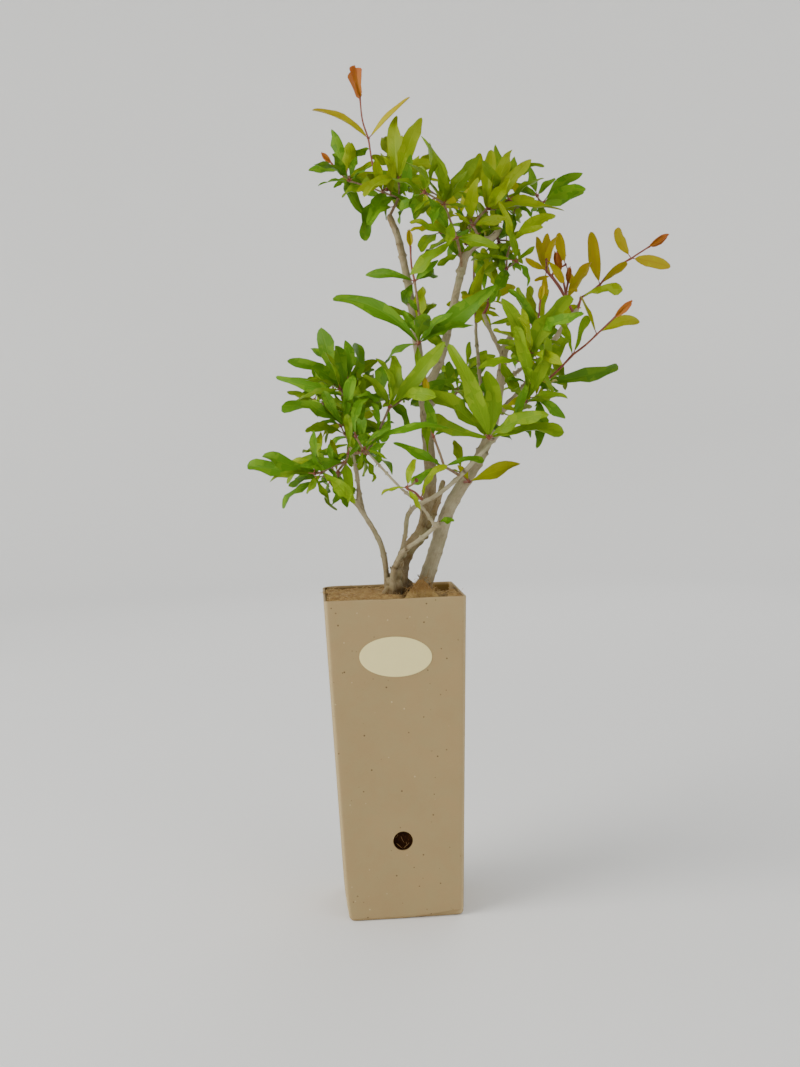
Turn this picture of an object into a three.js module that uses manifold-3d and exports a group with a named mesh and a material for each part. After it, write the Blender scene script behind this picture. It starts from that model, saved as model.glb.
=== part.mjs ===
// A young pomegranate tree (Punica granatum) in a tall, tapering cardboard sleeve pot.
// Millimetres, +Z up. The origin is the centre of the pot's flat underside, and the front of the
// pot, with its label and drainage hole, looks towards -Y.
//
// Four woody stems and a stub rise out of the coir at the top of the pot. Each stem and bough is
// one tapering limb. The foliage is a set of masses, each grown by the same seeded rule from one
// stem: twigs run from node to node, every node carries leaves at stated headings, and some nodes
// put out a short seeded spur with leaves of its own.
import * as THREE from 'three';
import { mergeVertices } from 'three/addons/utils/BufferGeometryUtils.js';
import Module from 'manifold-3d';

const wasm = await Module();
wasm.setup();

// ---------------------------------------------------------------- driving dimensions

const GAP = 0.35; // clear space between pieces that touch on the real plant

const POT_TOP = 100; // outside width of the sleeve at its rim
const POT_FOOT = 84; // and at its underside
const POT_HEIGHT = 231.5;
const POT_WALL = 1.6;
const POT_FLOOR = 1.8;
const POT_CORNER = 5; // radius of the folded corners
const HOLE_DIAMETER = 14;
const HOLE_HEIGHT = 57.5; // centre of the drainage hole above the underside

const LABEL_WIDTH = 51;
const LABEL_HEIGHT = 28.5;
const LABEL_THICKNESS = 0.4;
const LABEL_CENTRE = 190.5;

const SOIL_TOP = 222; // the stems are cut flat and stand on the root ball here
const COIR_TOP = 230.2; // highest part of the felt that fills the mouth of the pot
const FLAP_LENGTH = 14.4; // the folded corner of felt that stands up before the right stem
const FLAP_WIDTH = 28;
const FLAP_THICKNESS = 2.4;
const FLAP_TILT = 62; // degrees up from level

const ROOT_FLARE = 0.3; // how much wider a stem gets at its foot
const FLARE_HEIGHT = 9;

const TWIG_RADIUS = 1.15; // where a mass leaves its limb
const TWIG_RADIUS_LEAST = 0.7;
const TWIG_TAPER = 0.86; // from each twig to the next
const TWIG_BOW = 0.06; // how far a twig bows, as a share of its length
const KNOB_RADIUS = 2; // the swelling that a whorl of leaves stands on

const LEAF_WIDTH = 0.15; // of the leaf's length, added to
const LEAF_WIDTH_BASE = 4.4; // this width in millimetres
const LEAF_KEEL = 0.014; // how deep the midrib is, of the leaf's length, and
const LEAF_KEEL_LEAST = 0.5; // at least this in millimetres
const LEAF_ROOT = 1; // a leaf's solid starts this far out from the middle of its knob
const LEAF_ROOT_HALF_WIDTH = 0.4;
const LEAF_SECTIONS = [0.43, 0.84]; // shares of the length where the blade has a section
const CROWN_MIDDLE = 24; // depth beyond which leaves turn to face the back
const BUD_SINK = 1.6; // how far a bud's foot sits back down its twig

const SPUR_LENGTH = 13;
const SPUR_RADIUS = 0.8;
const SPUR_LEAF_LENGTHS = [20, 34];
const WHORL_TURN = 137.5; // degrees from each leaf of a spur to the next

// Degrees towards the back or the front that a leaf and a spur try in turn.
const LEAF_LEANS = [14, -14, 28, -28, 5, -5, 40, -40];
const SPUR_LEANS = [40, -40, 60, -60, 20, -20];

// How much air a growing piece keeps from what is there already.
const CLEAR_OF_LIMBS = 3;
const CLEAR_OF_OTHER_MASSES = 5;
const CLEAR_OF_OWN_LEAVES = 1.8;
const CLEAR_OF_OWN_TWIGS = 1;
const LEAF_BALL_SHARES = [0.2, 0.32, 0.44, 0.56, 0.68, 0.8, 0.91, 1];
const LEAF_BALL_RADIUS = 0.4;

const LIMB_STEPS = 2; // straight parts between each two points of a limb's path
const STEM_SIDES = 8;
const BOUGH_SIDES = 6;
const TWIG_SIDES = 3;

// Each limb: its path from foot to tip, and its radius at both. A stem stands on the root ball; a
// bough grows out of the limb it is on. Limbs that come later are cut clear of earlier ones.
const LIMBS = [
  {
    name: 'stem_middle',
    path: [
      [8, 4, 222.3], [8, 3, 246], [14, 3, 261], [26, 4, 277], [32, 6, 312], [31, 8, 349],
      [29, 8, 382],
    ],
    foot: 5.8,
    tip: 4.1,
    stem: true,
  },
  {
    name: 'stem_right',
    path: [
      [22, 14, 222.3], [35, 14, 258], [47, 12, 292], [68, 8, 325], [80, 8, 351], [87, 10, 384],
      [91, 12, 406], [96, 13, 415],
    ],
    foot: 6,
    tip: 3,
    stem: true,
  },
  {
    name: 'stem_front',
    path: [[1, -16, 222.3], [1, -18, 245], [7, -22, 260], [19, -30, 270], [31, -38, 280]],
    foot: 2.9,
    tip: 1.8,
    stem: true,
  },
  {
    name: 'stem_left',
    path: [[-2, -3, 222.3], [-5, -12, 259], [-12, -20, 278], [-24, -28, 298]],
    foot: 2.9,
    tip: 2,
    stem: true,
  },
  {
    name: 'stem_slender',
    path: [
      [11, -8, 222.3], [7, -8, 250], [11, -12, 273], [15, -18, 291], [34, -26, 302],
      [50, -32, 315], [74, -40, 340], [81, -42, 346],
    ],
    foot: 2.3,
    tip: 1.6,
    stem: true,
  },
  {
    name: 'stub_dark',
    path: [[26, 3, 270], [30, -6, 281], [35, -14, 296], [39, -20, 311]],
    foot: 2.7,
    tip: 2.1,
  },
  {
    name: 'bough_left_inner',
    path: [[-23, -27, 296], [-22, -26, 314], [-24, -25, 328], [-26, -26, 338]],
    foot: 1.6,
    tip: 1.2,
  },
  {
    name: 'bough_left_outer',
    path: [[-23, -27, 297], [-30, -33, 305], [-38, -38, 313], [-31, -40, 325]],
    foot: 1.7,
    tip: 1.2,
  },
  {
    name: 'bough_left_back',
    path: [[-19, -25, 290], [-23, 6, 322], [-27, 30, 348]],
    foot: 1.6,
    tip: 1.2,
  },
  {
    name: 'bough_middle_left',
    path: [[29, 8, 379], [26, 10, 413], [21, 12, 455], [15, 12, 488], [9, 12, 505]],
    foot: 3.6,
    tip: 2.7,
  },
  {
    name: 'bough_middle_right',
    path: [[30, 8, 376], [42, 2, 399], [50, -6, 430], [58, -12, 463]],
    foot: 3.4,
    tip: 2.7,
  },
  {
    name: 'bough_middle_back',
    path: [[31, 8, 362], [41, 34, 370], [50, 52, 372]],
    foot: 2,
    tip: 1.5,
  },
  {
    name: 'bough_top_cut',
    path: [[57, -12, 460], [65, -6, 477], [82, 2, 486], [89, 6, 493]],
    foot: 3.2,
    tip: 2.8,
  },
  {
    name: 'bough_right_long',
    path: [[86, 9, 360], [106, 22, 378], [125, 34, 403], [145, 42, 429], [153, 44, 437]],
    foot: 2.9,
    tip: 1.9,
  },
  {
    name: 'bough_right_inner',
    path: [[90, 11, 400], [82, 16, 419], [77, 20, 433]],
    foot: 1.9,
    tip: 1.4,
  },
  {
    name: 'bough_right_short',
    path: [[92, 12, 406], [103, -2, 414], [111, -8, 420]],
    foot: 2,
    tip: 1.5,
  },
  {
    name: 'bough_right_back',
    path: [[86, 10, 379], [102, 44, 389], [116, 68, 397]],
    foot: 2,
    tip: 1.5,
  },
  {
    name: 'bough_centre',
    path: [[78, 8, 344], [75, 24, 370], [73, 34, 415], [73, 34, 428]],
    foot: 1.7,
    tip: 1.3,
  },
  {
    name: 'bough_front',
    path: [[31, -38, 280], [20, -44, 296], [6, -48, 309], [-15, -50, 333]],
    foot: 1.5,
    tip: 0.9,
  },
];

// A node of a mass: the earlier node it grows from, its place, the leaves it carries as
// [heading, length], and how many leaves its seeded spur has. A heading is in degrees clockwise
// from straight up, as seen from the front.
const LIMB = -1;
const node = (from, at, leaves, spur = 0) => ({ from, at, leaves, spur });

// A bud is a folded pair of young leaves at a twig's end.
const bud = (from, at, budLength) => ({ from, at, leaves: [], spur: 0, budLength });

const MASSES = [
  {
    name: 'leaves_top_left',
    limb: 'bough_middle_left',
    seed: 1,
    nodes: [
      node(LIMB, [16, 10, 518], []),
      node(0, [16, 6, 530], [[1, 47], [23, 44], [-103, 32], [112, 22], [-21, 28], [93, 28]], 3),
      node(0, [5, 16, 523], [[-157, 37], [27, 18]], 3),
      node(2, [-19, 22, 533], [[-34, 22], [-70, 15], [-94, 23], [19, 20]], 2),
      node(2, [-4, 20, 563], [[-59, 45], [50, 41]]),
      bud(4, [-9, 24, 593], 26),
      bud(3, [-32, 24, 547], 12),
    ],
  },
  {
    name: 'leaves_top_middle',
    limb: 'bough_middle_right',
    seed: 2,
    nodes: [
      node(LIMB, [53, -30, 482], [[-125, 40], [-74, 28], [87, 19], [-112, 21]], 3),
      node(0, [44, -38, 504], [
        [-12, 50], [38, 39], [3, 29], [-47, 37], [-103, 22], [39, 24], [93, 18],
      ], 4),
    ],
  },
  {
    name: 'leaves_top_right',
    limb: 'bough_top_cut',
    seed: 3,
    nodes: [
      node(LIMB, [69, 2, 495], [[-55, 16], [132, 13]], 3),
      node(0, [80, 10, 508], [
        [22, 53], [43, 45], [91, 55], [0, 40], [72, 39], [14, 37], [-30, 25],
      ], 5),
      node(1, [126, 32, 516], [[55, 34], [74, 33]]),
    ],
  },
  {
    name: 'leaves_upper_right',
    limb: 'bough_right_inner',
    seed: 4,
    nodes: [
      node(LIMB, [81, 18, 443], [[62, 25], [-80, 20], [151, 10]], 1),
      node(0, [94, 12, 465], [[60, 10], [-20, 10]]),
      node(1, [97, 6, 483], [[60, 41], [64, 25], [-19, 28], [144, 18], [-124, 10], [35, 12]], 3),
    ],
    tint: 'yellow',
  },
  {
    name: 'leaves_red',
    limb: 'bough_right_long',
    seed: 5,
    nodes: [
      node(LIMB, [144, 42, 444], [[44, 11], [30, 29], [92, 25]], 1),
      node(0, [127, 30, 465], [[-11, 27], [13, 23], [-57, 19], [-178, 19], [14, 30]], 2),
      bud(0, [139, 38, 465], 18),
      bud(0, [146, 44, 458], 14),
      node(0, [139, 74, 467], [[-21, 25], [37, 19], [-102, 14]], 3),
    ],
    tint: 'bronze',
  },
  {
    name: 'leaves_shoot_upper',
    limb: 'bough_right_long',
    seed: 6,
    nodes: [
      node(LIMB, [156, 46, 446], [[80, 31], [-154, 17]]),
      node(0, [172, 50, 456], [[-8, 40], [52, 24]]),
      node(1, [198, 54, 476], [[-25, 26], [99, 34]]),
      bud(2, [213, 56, 485], 20),
    ],
    tint: 'bronze',
  },
  {
    name: 'leaves_right',
    limb: 'stem_slender',
    seed: 7,
    nodes: [
      node(LIMB, [87, -42, 350], []),
      node(0, [96, -42, 365], [[-6, 51], [-29, 32], [40, 58], [69, 24], [16, 42]], 3),
      node(1, [101, -36, 392], [[29, 52], [-21, 47]], 1),
      node(2, [106, -34, 416], [[-35, 34]]),
      bud(3, [111, -30, 437], 14),
    ],
  },
  {
    name: 'leaves_shoot_lower',
    limb: 'bough_right_long',
    seed: 8,
    nodes: [
      node(LIMB, [119, 4, 381], [[73, 63]]),
      node(0, [137, -10, 399], [[-10, 26], [14, 28]]),
      node(1, [154, -16, 413], [[75, 35], [-20, 31]]),
      bud(2, [167, -20, 425], 18),
    ],
  },
  {
    name: 'leaves_centre_right',
    limb: 'stem_slender',
    seed: 9,
    nodes: [
      node(LIMB, [69, -50, 341], [
        [3, 46], [-24, 66], [-50, 51], [-23, 46], [83, 50], [100, 34], [65, 40], [-71, 43],
      ], 2),
    ],
  },
  {
    name: 'leaves_centre_left',
    limb: 'bough_middle_left',
    seed: 10,
    nodes: [
      node(LIMB, [25, -14, 410], [[-53, 73], [54, 67], [72, 38], [48, 27]], 2),
      node(0, [24, -10, 455], [[-69, 37], [52, 21]]),
      bud(1, [22, -8, 480], 14),
    ],
  },
  {
    name: 'leaves_centre_low',
    limb: 'stem_slender',
    seed: 11,
    nodes: [
      node(LIMB, [38, -42, 322], [[-53, 37], [82, 27], [-109, 26]], 1),
      node(0, [31, -44, 343], [[47, 13], [-16, 27]]),
      bud(1, [27, -46, 373], 14),
    ],
  },
  {
    name: 'leaves_right_low',
    limb: 'stem_right',
    seed: 12,
    nodes: [
      node(LIMB, [59, -12, 310], [[70, 37], [-35, 15]], 2),
    ],
    tint: 'yellow',
  },
  {
    name: 'leaves_front_low',
    limb: 'bough_front',
    seed: 13,
    nodes: [
      node(LIMB, [20, -54, 301], [[26, 27], [-19, 19], [40, 12]], 2),
      node(0, [10, -56, 309], [[-101, 18]], 1),
    ],
    tint: 'yellow',
  },
  {
    name: 'leaves_left_inner',
    limb: 'bough_front',
    seed: 14,
    nodes: [
      node(LIMB, [-19, -54, 336], [[72, 61], [117, 18], [-169, 14], [54, 25]], 1),
    ],
  },
  {
    name: 'leaves_left_upper',
    limb: 'bough_left_inner',
    seed: 15,
    nodes: [
      node(LIMB, [-26, -26, 340], [[-114, 54], [82, 17]], 2),
      node(0, [-29, -28, 351], [[-63, 47], [-23, 29], [8, 33], [91, 32]], 3),
      node(1, [-29, -20, 374], [[-17, 49], [-29, 46], [-59, 46], [-72, 53], [-7, 36], [20, 43]], 4),
    ],
  },
  {
    name: 'leaves_left_middle',
    limb: 'bough_left_inner',
    seed: 16,
    nodes: [
      node(LIMB, [-16, -36, 333], [[64, 15]]),
      node(0, [1, -36, 364], [[5, 40], [-31, 28], [44, 58], [132, 6], [-8, 34]], 2),
      node(1, [15, -30, 375], [[73, 34]]),
    ],
  },
  {
    name: 'leaves_left_lower',
    limb: 'bough_left_outer',
    seed: 17,
    nodes: [
      node(LIMB, [-31, -42, 328], [[-88, 31], [-68, 20]], 2),
      node(0, [-48, -46, 321], [[-85, 51], [-69, 39], [-99, 22], [-147, 18]], 2),
      node(0, [-42, -40, 315], [[-111, 42]], 1),
    ],
  },
  {
    name: 'leaves_back_left',
    limb: 'bough_left_back',
    seed: 18,
    nodes: [
      node(LIMB, [-28, 40, 355], [[-119, 22], [106, 21]], 3),
      node(0, [-45, 58, 372], [[-84, 20], [-10, 30]], 4),
      node(0, [-20, 66, 384], [[41, 22], [-20, 25], [77, 24]], 4),
    ],
  },
  {
    name: 'leaves_back_centre',
    limb: 'bough_middle_back',
    seed: 19,
    nodes: [
      node(LIMB, [54, 60, 372], [[-29, 15], [118, 16]], 4),
      node(0, [67, 80, 385], [[-144, 18], [168, 10]], 4),
    ],
  },
  {
    name: 'leaves_back_right',
    limb: 'bough_right_back',
    seed: 20,
    nodes: [
      node(LIMB, [121, 78, 400], [[-21, 20], [87, 18]], 4),
      node(0, [137, 96, 422], [[25, 20], [123, 15], [-22, 20]], 4),
    ],
  },
  {
    name: 'leaves_back_top',
    limb: 'bough_centre',
    seed: 21,
    nodes: [
      node(LIMB, [73, 36, 436], [[73, 16], [-36, 19]], 1),
      node(0, [77, 60, 488], [[43, 16], [-30, 18]], 2),
      node(1, [67, 74, 522], [[-47, 19], [-4, 23]], 4),
      node(1, [101, 80, 529], [[44, 21], [-23, 19], [96, 19]], 4),
      node(2, [31, 62, 542], [[-34, 18], [19, 21], [-105, 16]], 3),
    ],
    tint: 'yellow',
  },
];

// ---------------------------------------------------------------- the growing rule

// Numbers that look random and are the same each time.
function seeded(seed) {
  let state = seed >>> 0;
  return (low, high) => {
    state = (state + 0x6d2b79f5) >>> 0;
    let mixed = Math.imul(state ^ (state >>> 15), state | 1);
    mixed = (mixed + Math.imul(mixed ^ (mixed >>> 7), mixed | 61)) ^ mixed;
    return low + ((high - low) * ((mixed ^ (mixed >>> 14)) >>> 0)) / 4294967296;
  };
}

const vector = (at) => new THREE.Vector3(...at);
const radians = THREE.MathUtils.degToRad;

// A smooth run through the points, with the same number of steps between each two.
function smoothRun(points, steps) {
  const last = points.length - 1;
  const run = [];
  for (let span = 0; span < last; span += 1) {
    const start = points[span];
    const end = points[span + 1];
    const before = span > 0 ? points[span - 1] : start.clone().multiplyScalar(2).sub(end);
    const after = span + 1 < last ? points[span + 2] : end.clone().multiplyScalar(2).sub(start);
    for (let step = 0; step < steps; step += 1) {
      const t = step / steps;
      const weights = [
        0.5 * (-t + 2 * t * t - t * t * t),
        0.5 * (2 - 5 * t * t + 3 * t * t * t),
        0.5 * (t + 4 * t * t - 3 * t * t * t),
        0.5 * (-t * t + t * t * t),
      ];
      const place = new THREE.Vector3();
      [before, start, end, after].forEach((point, i) => place.addScaledVector(point, weights[i]));
      run.push(place);
    }
  }
  run.push(points[last].clone());
  return run;
}

// The direction that a heading and a lean away from the viewer give, both in degrees.
function direction(heading, lean) {
  const across = Math.cos(radians(lean));
  return new THREE.Vector3(
    Math.sin(radians(heading)) * across,
    Math.sin(radians(lean)),
    Math.cos(radians(heading)) * across,
  );
}

// A leaf: its foot, which way it runs, how long and wide it is, which way its face looks, and how
// much it arches and folds along its midrib.
function leafFrom(foot, along, length, face, random) {
  const upwards = face.clone().addScaledVector(along, -face.dot(along)).normalize();
  return {
    foot,
    along,
    length,
    width: (LEAF_WIDTH_BASE + LEAF_WIDTH * length) * random(0.78, 1.12),
    upwards,
    sideways: new THREE.Vector3().crossVectors(along, upwards),
    arch: random(0.02, 0.1),
    fold: random(0.1, 0.5),
  };
}

// The point at a share of the leaf's length, and at a share of its half width to either side.
function leafPoint(leaf, share, side, halfWidth) {
  const rise = leaf.length * leaf.arch * 4 * share * (1 - share);
  return leaf.foot
    .clone()
    .addScaledVector(leaf.along, leaf.length * share)
    .addScaledVector(leaf.upwards, rise + Math.abs(side) * halfWidth * leaf.fold)
    .addScaledVector(leaf.sideways, side * halfWidth);
}

// The half width of the blade: narrow at the foot, widest beyond the middle, round at the tip.
function bladeHalfWidth(leaf, share) {
  return leaf.width * 0.5 * Math.sin(Math.PI * share ** 1.25) ** 0.6;
}

// A leaf as balls, by which growing pieces are kept clear of one another.
function leafBalls(leaf, owner) {
  return LEAF_BALL_SHARES.flatMap((share) =>
    [-1, 0, 1].map((side) => {
      const centre = leafPoint(leaf, share, side, bladeHalfWidth(leaf, share));
      return { centre, radius: LEAF_BALL_RADIUS, owner };
    }),
  );
}

function clearanceTo(ball, owner) {
  if (ball.owner === 'limb') return CLEAR_OF_LIMBS;
  if (ball.owner !== owner) return CLEAR_OF_OTHER_MASSES;
  return ball.wood ? CLEAR_OF_OWN_TWIGS : CLEAR_OF_OWN_LEAVES;
}

function staysClear(balls, obstacles) {
  return balls.every((ball) =>
    obstacles.every((other) => {
      const least = ball.radius + other.radius + clearanceTo(other, ball.owner);
      return ball.centre.distanceToSquared(other.centre) >= least * least;
    }),
  );
}

// Which way a leaf's face looks: up and outwards, the front half of the crown to the front.
function faceOf(foot, random) {
  const outwards = foot.y < CROWN_MIDDLE ? -1 : 1;
  return new THREE.Vector3(random(-0.5, 0.5), outwards * random(0.6, 1.2), random(0.2, 0.9));
}

// Tries a leaf at each lean in turn, and keeps the first that stays clear.
function tryLeaf(mass, foot, heading, length) {
  const { random } = mass;
  const face = faceOf(foot, random);
  const turn = random(-4, 4);
  const stretch = random(0.97, 1.03);
  const flip = random(0, 1) < 0.5 ? 1 : -1;
  for (const lean of LEAF_LEANS) {
    const along = direction(heading + turn, lean * flip);
    const leaf = leafFrom(foot, along, (length * stretch) / Math.cos(radians(lean)), face, random);
    const balls = leafBalls(leaf, mass.name);
    if (staysClear(balls, mass.obstacles)) {
      mass.obstacles.push(...balls);
      mass.leaves.push(leaf);
      return;
    }
  }
}

// A twig from one place to the next, with a slight bow.
function growTwig(mass, from, to, radius) {
  const { random } = mass;
  const length = from.distanceTo(to);
  const bow = new THREE.Vector3(random(-1, 1), random(-1, 1), random(-1, 1));
  const middle = from.clone().lerp(to, 0.5).addScaledVector(bow, length * TWIG_BOW);
  const run = [from, middle, to];
  mass.twigs.push({ run, foot: radius, tip: radius * TWIG_TAPER });
  smoothRun(run, 5).forEach((centre) => {
    mass.obstacles.push({ centre, radius, owner: mass.name, wood: true });
  });
}

function nearest(run, place) {
  return run.reduce((best, p) => (p.distanceTo(place) < best.distanceTo(place) ? p : best));
}

// First the twigs of a mass, from node to node.
function growTwigs(row, limbRun, obstacles) {
  const random = seeded(row.seed);
  const mass = { ...row, random, obstacles, twigs: [], leaves: [], knobs: [] };
  const places = row.nodes.map((n) => vector(n.at));
  row.nodes.forEach((n, i) => {
    const from = n.from === LIMB ? nearest(limbRun, places[i]) : places[n.from];
    const radius = TWIG_RADIUS * TWIG_TAPER ** (n.from + 1);
    growTwig(mass, from, places[i], Math.max(TWIG_RADIUS_LEAST, radius));
  });
  return mass;
}

// Then the buds, and the leaves that give the mass its outline.
function growLeaves(mass) {
  mass.nodes.forEach((n, i) => {
    const place = vector(n.at);
    if (n.budLength) growBud(mass, mass.twigs[i], n.budLength);
    else mass.knobs.push(place);
    n.leaves.forEach(([heading, length]) => {
      tryLeaf(mass, place, heading, length);
    });
  });
}

// Two folded leaves that stand almost shut at the end of a twig.
function growBud(mass, twig, length) {
  const [start, , end] = twig.run;
  const heading = end.clone().sub(start).normalize();
  const foot = end.clone().addScaledVector(heading, -BUD_SINK);
  [-1, 1].forEach((side) => {
    const apart = new THREE.Vector3(0.05, -0.07, 0.01).multiplyScalar(side);
    const face = new THREE.Vector3(side, side * -0.6, 0.1);
    const along = heading.clone().add(apart).normalize();
    mass.leaves.push(leafFrom(foot, along, length, face, mass.random));
  });
}

// Last the spurs: short seeded twigs towards the front or the back, each with a whorl of leaves.
function growSpurs(mass) {
  mass.nodes.filter((n) => n.spur > 0).forEach((n) => {
    const foot = vector(n.at);
    const side = mass.random(0, 1) < 0.5 ? 1 : -1;
    for (const lean of SPUR_LEANS) {
      const along = direction(mass.random(-70, 70), lean * side);
      const end = foot.clone().addScaledVector(along, SPUR_LENGTH * mass.random(0.8, 1.3));
      const balls = smoothRun([foot, end], 4)
        .slice(2)
        .map((centre) => ({ centre, radius: SPUR_RADIUS, owner: mass.name }));
      if (!staysClear(balls, mass.obstacles)) continue;
      growTwig(mass, foot, end, SPUR_RADIUS);
      mass.knobs.push(end);
      for (let i = 0; i < n.spur; i += 1) {
        const heading = i * WHORL_TURN + mass.random(-20, 20);
        tryLeaf(mass, end, heading, mass.random(...SPUR_LEAF_LENGTHS));
      }
      return;
    }
  });
}

// ---------------------------------------------------------------- solids

function toSolid(geometry) {
  const bare = geometry.clone().deleteAttribute('normal').deleteAttribute('uv');
  const merged = mergeVertices(bare, 1e-5);
  return new wasm.Manifold(
    new wasm.Mesh({
      numProp: 3,
      vertProperties: merged.attributes.position.array,
      triVerts: new Uint32Array(merged.index.array),
    }),
  );
}

function toGeometry(solid) {
  const mesh = solid.getMesh();
  const geometry = new THREE.BufferGeometry();
  geometry.setAttribute('position', new THREE.BufferAttribute(mesh.vertProperties, 3));
  geometry.setIndex(new THREE.BufferAttribute(mesh.triVerts, 1));
  return geometry.toNonIndexed();
}

// Joins rings of points, each with the same number, into a closed solid. A ring of one point is a
// pointed end, and a wider end ring is closed flat.
function loft(rings) {
  const positions = rings.flat().flatMap((point) => point.toArray());
  const starts = [0];
  rings.forEach((ring) => starts.push(starts.at(-1) + ring.length));
  const faces = [];
  for (let r = 0; r + 1 < rings.length; r += 1) {
    const count = Math.max(rings[r].length, rings[r + 1].length);
    const lower = (i) => starts[r] + (i % rings[r].length);
    const upper = (i) => starts[r + 1] + (i % rings[r + 1].length);
    for (let i = 0; i < count; i += 1) {
      if (rings[r].length > 1) faces.push(lower(i), lower(i + 1), upper(i));
      if (rings[r + 1].length > 1) faces.push(lower(i + 1), upper(i + 1), upper(i));
    }
  }
  const top = starts[rings.length - 1];
  for (let i = 1; i + 1 < rings[0].length; i += 1) faces.push(0, i + 1, i);
  for (let i = 1; i + 1 < rings.at(-1).length; i += 1) faces.push(top, top + i, top + i + 1);
  const geometry = new THREE.BufferGeometry();
  geometry.setAttribute('position', new THREE.Float32BufferAttribute(positions, 3));
  geometry.setIndex(faces);
  return toSolid(geometry);
}

// A round limb along a run, with a radius for each of its points.
function tube(run, radii, sides) {
  let side = new THREE.Vector3(1, 0.3, 0.2);
  const rings = run.map((centre, i) => {
    const ahead = run[Math.min(i + 1, run.length - 1)];
    const behind = run[Math.max(i - 1, 0)];
    const tangent = ahead.clone().sub(behind).normalize();
    side = side.clone().addScaledVector(tangent, -side.dot(tangent)).normalize();
    const other = new THREE.Vector3().crossVectors(tangent, side);
    return Array.from({ length: sides }, (_, k) => {
      const angle = (2 * Math.PI * k) / sides;
      return centre
        .clone()
        .addScaledVector(side, Math.cos(angle) * radii[i])
        .addScaledVector(other, Math.sin(angle) * radii[i]);
    });
  });
  return loft(rings);
}

// Carries both ends of a run on by a length.
function lengthened(run, extra) {
  const longer = run.map((point) => point.clone());
  const startWay = run[0].clone().sub(run[1]).normalize();
  const endWay = run.at(-1).clone().sub(run.at(-2)).normalize();
  longer[0].addScaledVector(startWay, extra);
  longer.at(-1).addScaledVector(endWay, extra);
  return longer;
}

const limbRun = (limb) => smoothRun(limb.path.map(vector), LIMB_STEPS);

function limbRadii(limb, run) {
  return run.map((point, i) => {
    const taper = limb.foot + ((limb.tip - limb.foot) * i) / (run.length - 1);
    const flare = limb.stem ? ROOT_FLARE * Math.exp(-(point.z - SOIL_TOP) / FLARE_HEIGHT) : 0;
    return taper * (1 + flare);
  });
}

// A limb as a solid, or, with a margin, the space that its neighbours keep out of.
function limbSolid(limb, margin = 0) {
  const run = limbRun(limb);
  const radii = limbRadii(limb, run).map((radius) => radius + margin);
  const solid = tube(margin ? lengthened(run, margin) : run, radii, limb.stem ? STEM_SIDES : BOUGH_SIDES);
  return limb.stem && !margin ? solid.subtract(groundBlock()) : solid;
}

// Everything below the top of the root ball, which cuts each stem's foot flat.
function groundBlock() {
  const block = new THREE.BoxGeometry(300, 300, 40);
  return toSolid(block.translate(0, 0, SOIL_TOP + GAP - 20));
}

// The biggest of a solid's separate bodies: drops scraps, and fills a hollow that fusing sealed.
function wholeBody(solid) {
  const bodies = solid.decompose();
  return bodies.reduce((best, body) => (body.volume() > best.volume() ? body : best));
}

// A leaf: three-cornered sections with a keel under the midrib, from a root sunk in its knob to
// the tip.
function leafSolid(leaf) {
  const keel = Math.max(LEAF_KEEL_LEAST, leaf.length * LEAF_KEEL);
  const section = (share, halfWidth) => [
    leafPoint(leaf, share, -1, halfWidth),
    leafPoint(leaf, share, 1, halfWidth),
    leafPoint(leaf, share, 0, 0).addScaledVector(leaf.upwards, -keel),
  ];
  return loft([
    section(LEAF_ROOT / leaf.length, LEAF_ROOT_HALF_WIDTH),
    ...LEAF_SECTIONS.map((share) => section(share, bladeHalfWidth(leaf, share))),
    [leafPoint(leaf, 1, 0, 0)],
  ]);
}

function knobSolid(place) {
  return toSolid(new THREE.OctahedronGeometry(KNOB_RADIUS).translate(...place));
}

function twigSolid(twig) {
  const count = twig.run.length - 1;
  const radii = twig.run.map((_, i) => twig.foot + ((twig.tip - twig.foot) * i) / count);
  return tube(twig.run, radii, TWIG_SIDES);
}

// ---------------------------------------------------------------- the pot and what fills it

// A square with rounded corners, centred on the axis, at a height.
function roundedSquare(width, corner, height) {
  const reach = width / 2 - corner;
  const points = [];
  [[1, 1], [-1, 1], [-1, -1], [1, -1]].forEach(([x, y], quarter) => {
    for (let step = 0; step <= 3; step += 1) {
      const angle = ((quarter + step / 3) * Math.PI) / 2;
      const out = new THREE.Vector3(Math.cos(angle) * corner, Math.sin(angle) * corner, height);
      points.push(out.add(new THREE.Vector3(x * reach, y * reach, 0)));
    }
  });
  return points;
}

const potWidth = (height) => POT_FOOT + ((POT_TOP - POT_FOOT) * height) / POT_HEIGHT;

// The tapering block inside the sleeve, between two heights and in from its outside.
function potFilling(inset, from, to) {
  const ring = (height) => roundedSquare(potWidth(height) - 2 * inset, POT_CORNER - POT_WALL, height);
  return loft([ring(from), ring(to)]);
}

function potSolid() {
  const outside = loft([
    roundedSquare(POT_FOOT, POT_CORNER, 0),
    roundedSquare(POT_TOP, POT_CORNER, POT_HEIGHT),
  ]);
  const hole = new THREE.CylinderGeometry(HOLE_DIAMETER / 2, HOLE_DIAMETER / 2, 20, 24);
  hole.translate(0, -potWidth(HOLE_HEIGHT) / 2, HOLE_HEIGHT);
  return outside.subtract(potFilling(POT_WALL, POT_FLOOR, POT_HEIGHT + 5)).subtract(toSolid(hole));
}

function rootBallSolid() {
  return potFilling(POT_WALL + GAP, POT_FLOOR + GAP, SOIL_TOP);
}

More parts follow.
